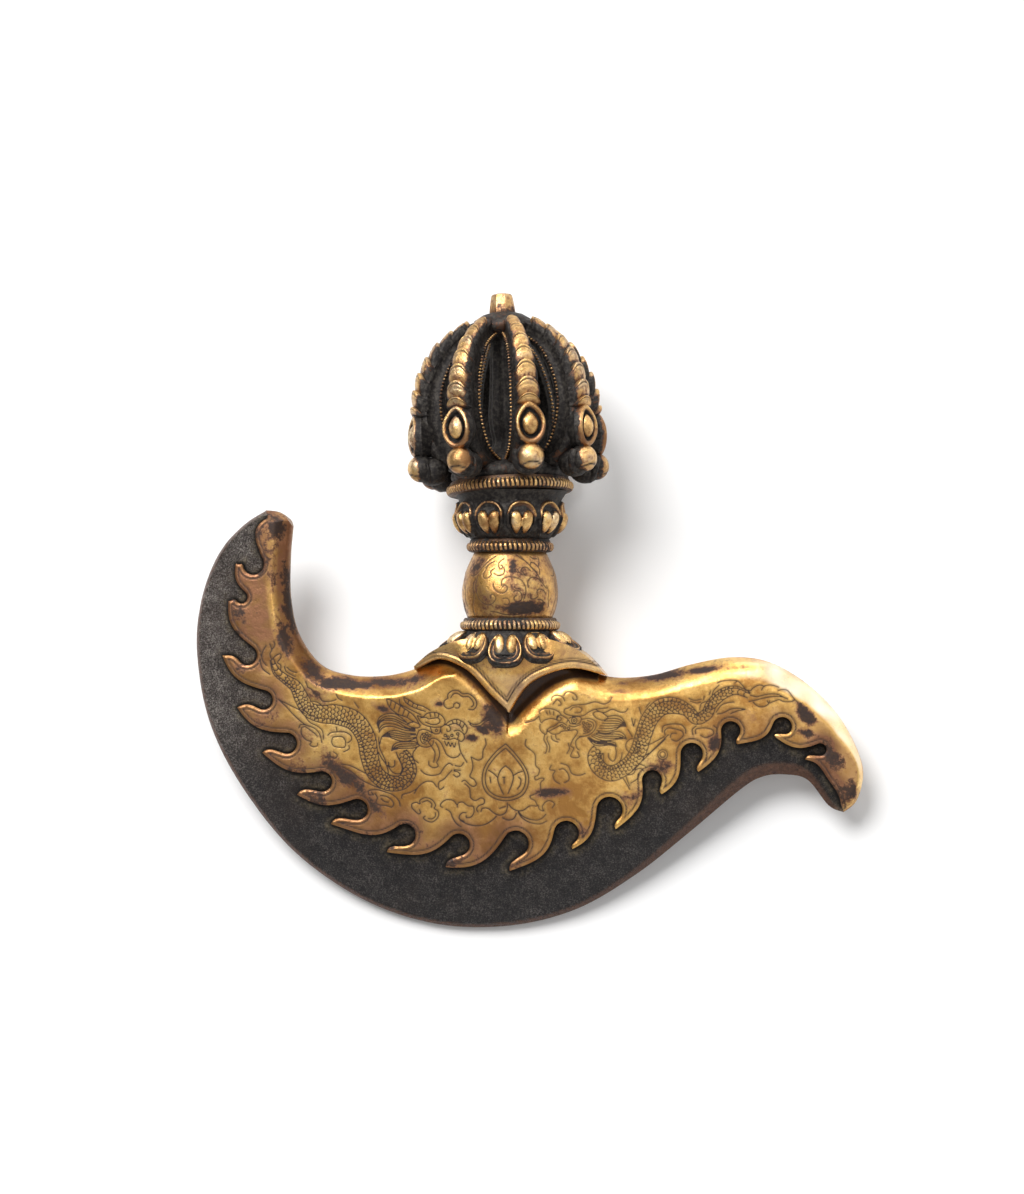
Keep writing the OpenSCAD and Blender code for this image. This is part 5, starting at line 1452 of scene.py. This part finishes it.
def make_axial_prong():
    root = [(4.9, 6.5), (7.1, 6.5), (7.1, 8.2), (8.4, 8.2), (8.2, 9.6)]
    core = smooth([(5.4, 11.4), (3.8, 14), (4.4, 18), (4.6, 22), (4.2, 27), (3.8, 33), (3.6, 41.2)], 6)
    end = [(3.6, 48.9), (1.2, 48.9), (1.2, 8)]

    def ribs(a, k, r, z):
        return r + 0.35 * np.cos(a * 8) * (z > 10) * (z < 40) * (r > 2), z

    made = Parts(*lathe(np.vstack([root, core, end]), 64, ribs)[:2], 0, 1)
    # The knob: eight flat sides that draw in, with a soft top
    knob = np.array([
        (3.5, 48.2), (3.66, 49.2), (3.55, 50.4), (3.3, 52.2), (3.05, 53.6), (2.85, 54.3), (2.3, 54.6),
        (0.9, 54.65),
    ])
    cols = 64
    t = around(cols)
    flatness = np.cos(math.pi / 8) / np.cos((t + math.pi / 8) % (math.pi / 4) - math.pi / 8)
    r = np.outer(knob[:, 0], 0.35 + 0.65 * np.clip(flatness * 1.03, 0, 1.04))
    z = np.repeat(knob[:, 1], cols)
    v = turned(np.tile(t, len(knob)), r.ravel(), z)
    made.add(v, barrel(len(knob), cols), 0.5 + 0.3 * step(z, 49, 52), 0.3 * step(z, 51, 48.5), 0.4)
    piece("prong_axial_cast", made, DARK, "axial_prong", 30, lean)


def make_crown():
    cap = [(3.65, 42.6), (6.6, 42.8), (8.6, 44.2), (8.8, 45.6), (7.8, 47.4), (5.6, 48.8), (3.65, 49.4)]

    def flute(a, k, r, z):
        star = np.cos((a - math.radians(TURN + 22.5)) * 8)
        return r - 0.5 * np.clip(star, 0, 1) * ((k > 0) & (k < 4)), z

    made = Parts(*lathe(cap, 128, flute)[:2], 0.34, 0.5)
    piece("crown_cast", made, DARK, "crown", 50, lean)


def inner_nodes():
    """Pieces that stay as the solids are: pins, filling and washer, hidden in the others."""
    lac, k = material("lac_filling")
    colour = k.ramp(k.noise(400, 6, 0.7), [(0.3, "3a1a10"), (0.7, "6a3320")])
    k.end(k.surface(colour, 0.0, 0.7, k.noise(900, 4), 0.4, 0.0004))
    for name, look in (("cheek_pins", GILT), ("tang_washer", IRON), ("grip_core", lac)):
        o = frame["nodes"][name]
        o.data.materials.clear()
        o.data.materials.append(look)


make_yoke()
make_lower_lotus()
cord_ring("ring_lower_corded", "lower_ring", 27, 3.5, COLLAR_TOP, 66, 0.85)
make_grip()
cord_ring("ring_upper_corded", "upper_ring", 23.5, 3.7, 8.8, 56, 0.72)
make_upper_lotus()
cord_ring("plate_corded", "top_ring", 34.4, PLATE, 0, 84, 0.8, lean, 3.1)
make_hub()
make_axial_prong()
make_crown()
for number in range(1, 9):
    make_prong(number)
inner_nodes()

# ---------------------------------------------------------------- camera, floor and light

# Sizes and places are in metres from here on, but for the sensor
TARGET = Vector((0.5, 0, -3.2)) * MM
DISTANCE = 0.95
FIELD = 0.3224
SENSOR = 36


def aim(o, place, way):
    """Puts an object at a place, looking along a way."""
    o.location = place
    o.rotation_mode = "QUATERNION"
    o.rotation_quaternion = way.to_track_quat("-Z", "Y")


def camera(azimuth, height):
    """Looks at the target from a direction in degrees. The field is as high as FIELD there."""
    data = bpy.data.cameras.new("camera")
    data.sensor_width = SENSOR
    data.lens = SENSOR / 2 / (FIELD / 2 / DISTANCE)
    data.clip_start, data.clip_end = 0.01, 20
    az, el = math.radians(azimuth), math.radians(height)
    way = Vector((math.sin(az) * math.cos(el), -math.cos(az) * math.cos(el), math.sin(el)))
    cam = bpy.context.scene.camera = shown("camera", data)
    aim(cam, TARGET + way * DISTANCE, -way)


def floor():
    """The pale table that the chopper lies on: it touches the belly's rear and the vajra's.
    It fades out at its borders, and from behind it isn't there."""
    n, reach, offset, slope = 49, 0.75, 0.0214, 0.21
    steps = [reach * (2 * i / (n - 1) - 1) for i in range(n)]
    mesh = bpy.data.meshes.new("floor")
    mesh.from_pydata([(x, offset + slope * z, z) for z in steps for x in steps], [], sheet(n, n))
    o = shown("floor", mesh)
    m, k = material("floor_paper")
    paper = k.surface((0.86, 0.855, 0.85, 1), 0.0, 0.9)
    seen = k.add("ShaderNodeLightPath", out="Is Camera Ray")
    glow = k.add("ShaderNodeEmission", {"Strength": seen.most(seen.other("Is Glossy Ray")) * 0.1})
    paper = k.add("ShaderNodeAddShader", {0: paper, 1: glow})
    reached = k.add("ShaderNodeVectorMath", {0: k.place}, "Value", operation="LENGTH")
    hide = k.place.other("Backfacing").most(((reached - 0.3) * 3.2).clip())
    k.end(k.add("ShaderNodeMixShader", {0: hide, 1: paper, 2: k.add("ShaderNodeBsdfTransparent")}))
    mesh.materials.append(m)


def lamp(name, place, size, power):
    data = bpy.data.lights.new(name, "AREA")
    data.shape, data.size, data.energy = "DISK", size, power
    aim(shown(name, data), place, -Vector(place))


# How bright the studio is from its left side, 0, to its right side, 1
WALL = [(0, 0.25), (0.25, 0.5), (0.4, 0.78), (0.5, 0.79), (0.545, 1.0), (1, 1.0)]


def world():
    """A white wall to the right, dimmer to the left, and a little more light from above and
    below. The camera sees plain white."""
    w = bpy.data.worlds.new("studio")
    bpy.context.scene.world = w
    w.use_nodes = True
    w.cycles.sampling_method = "NONE"
    k = Nodes(w.node_tree)
    right = k.add("ShaderNodeSeparateXYZ", {0: k.add("ShaderNodeTexCoord", out="Generated")})
    up = right.other(2)
    lit = k.ramp(right * 0.5 + 0.5, WALL) + up.of("ABSOLUTE", up) * 0.45
    lit = (lit - 0.03).least(1.1).most(0.1) + right.most(0.0) * up.most(0.0) * 1.7
    seen = k.add("ShaderNodeLightPath", out="Is Camera Ray")
    lit = lit * k.blend(seen.other("Is Glossy Ray"), 0.35, 1.02)
    studio = k.add("ShaderNodeBackground", {"Strength": lit})
    plain = k.add("ShaderNodeBackground", {"Color": (1, 1, 1, 1), "Strength": 1.0})
    k.end(k.add("ShaderNodeMixShader", {0: seen, 1: studio, 2: plain}), "ShaderNodeOutputWorld")


camera(5.5, -0.5)
floor()
lamp("key", (-0.75, -1.5, 1.2), 1.35, 48.0)
lamp("fill", (0.6, -1.85, 0.2), 0.8, 3.0)
lamp("top", (0.1, -0.5, 1.6), 0.5, 6.0)
world()
bpy.context.scene.view_settings.view_transform = "Standard"
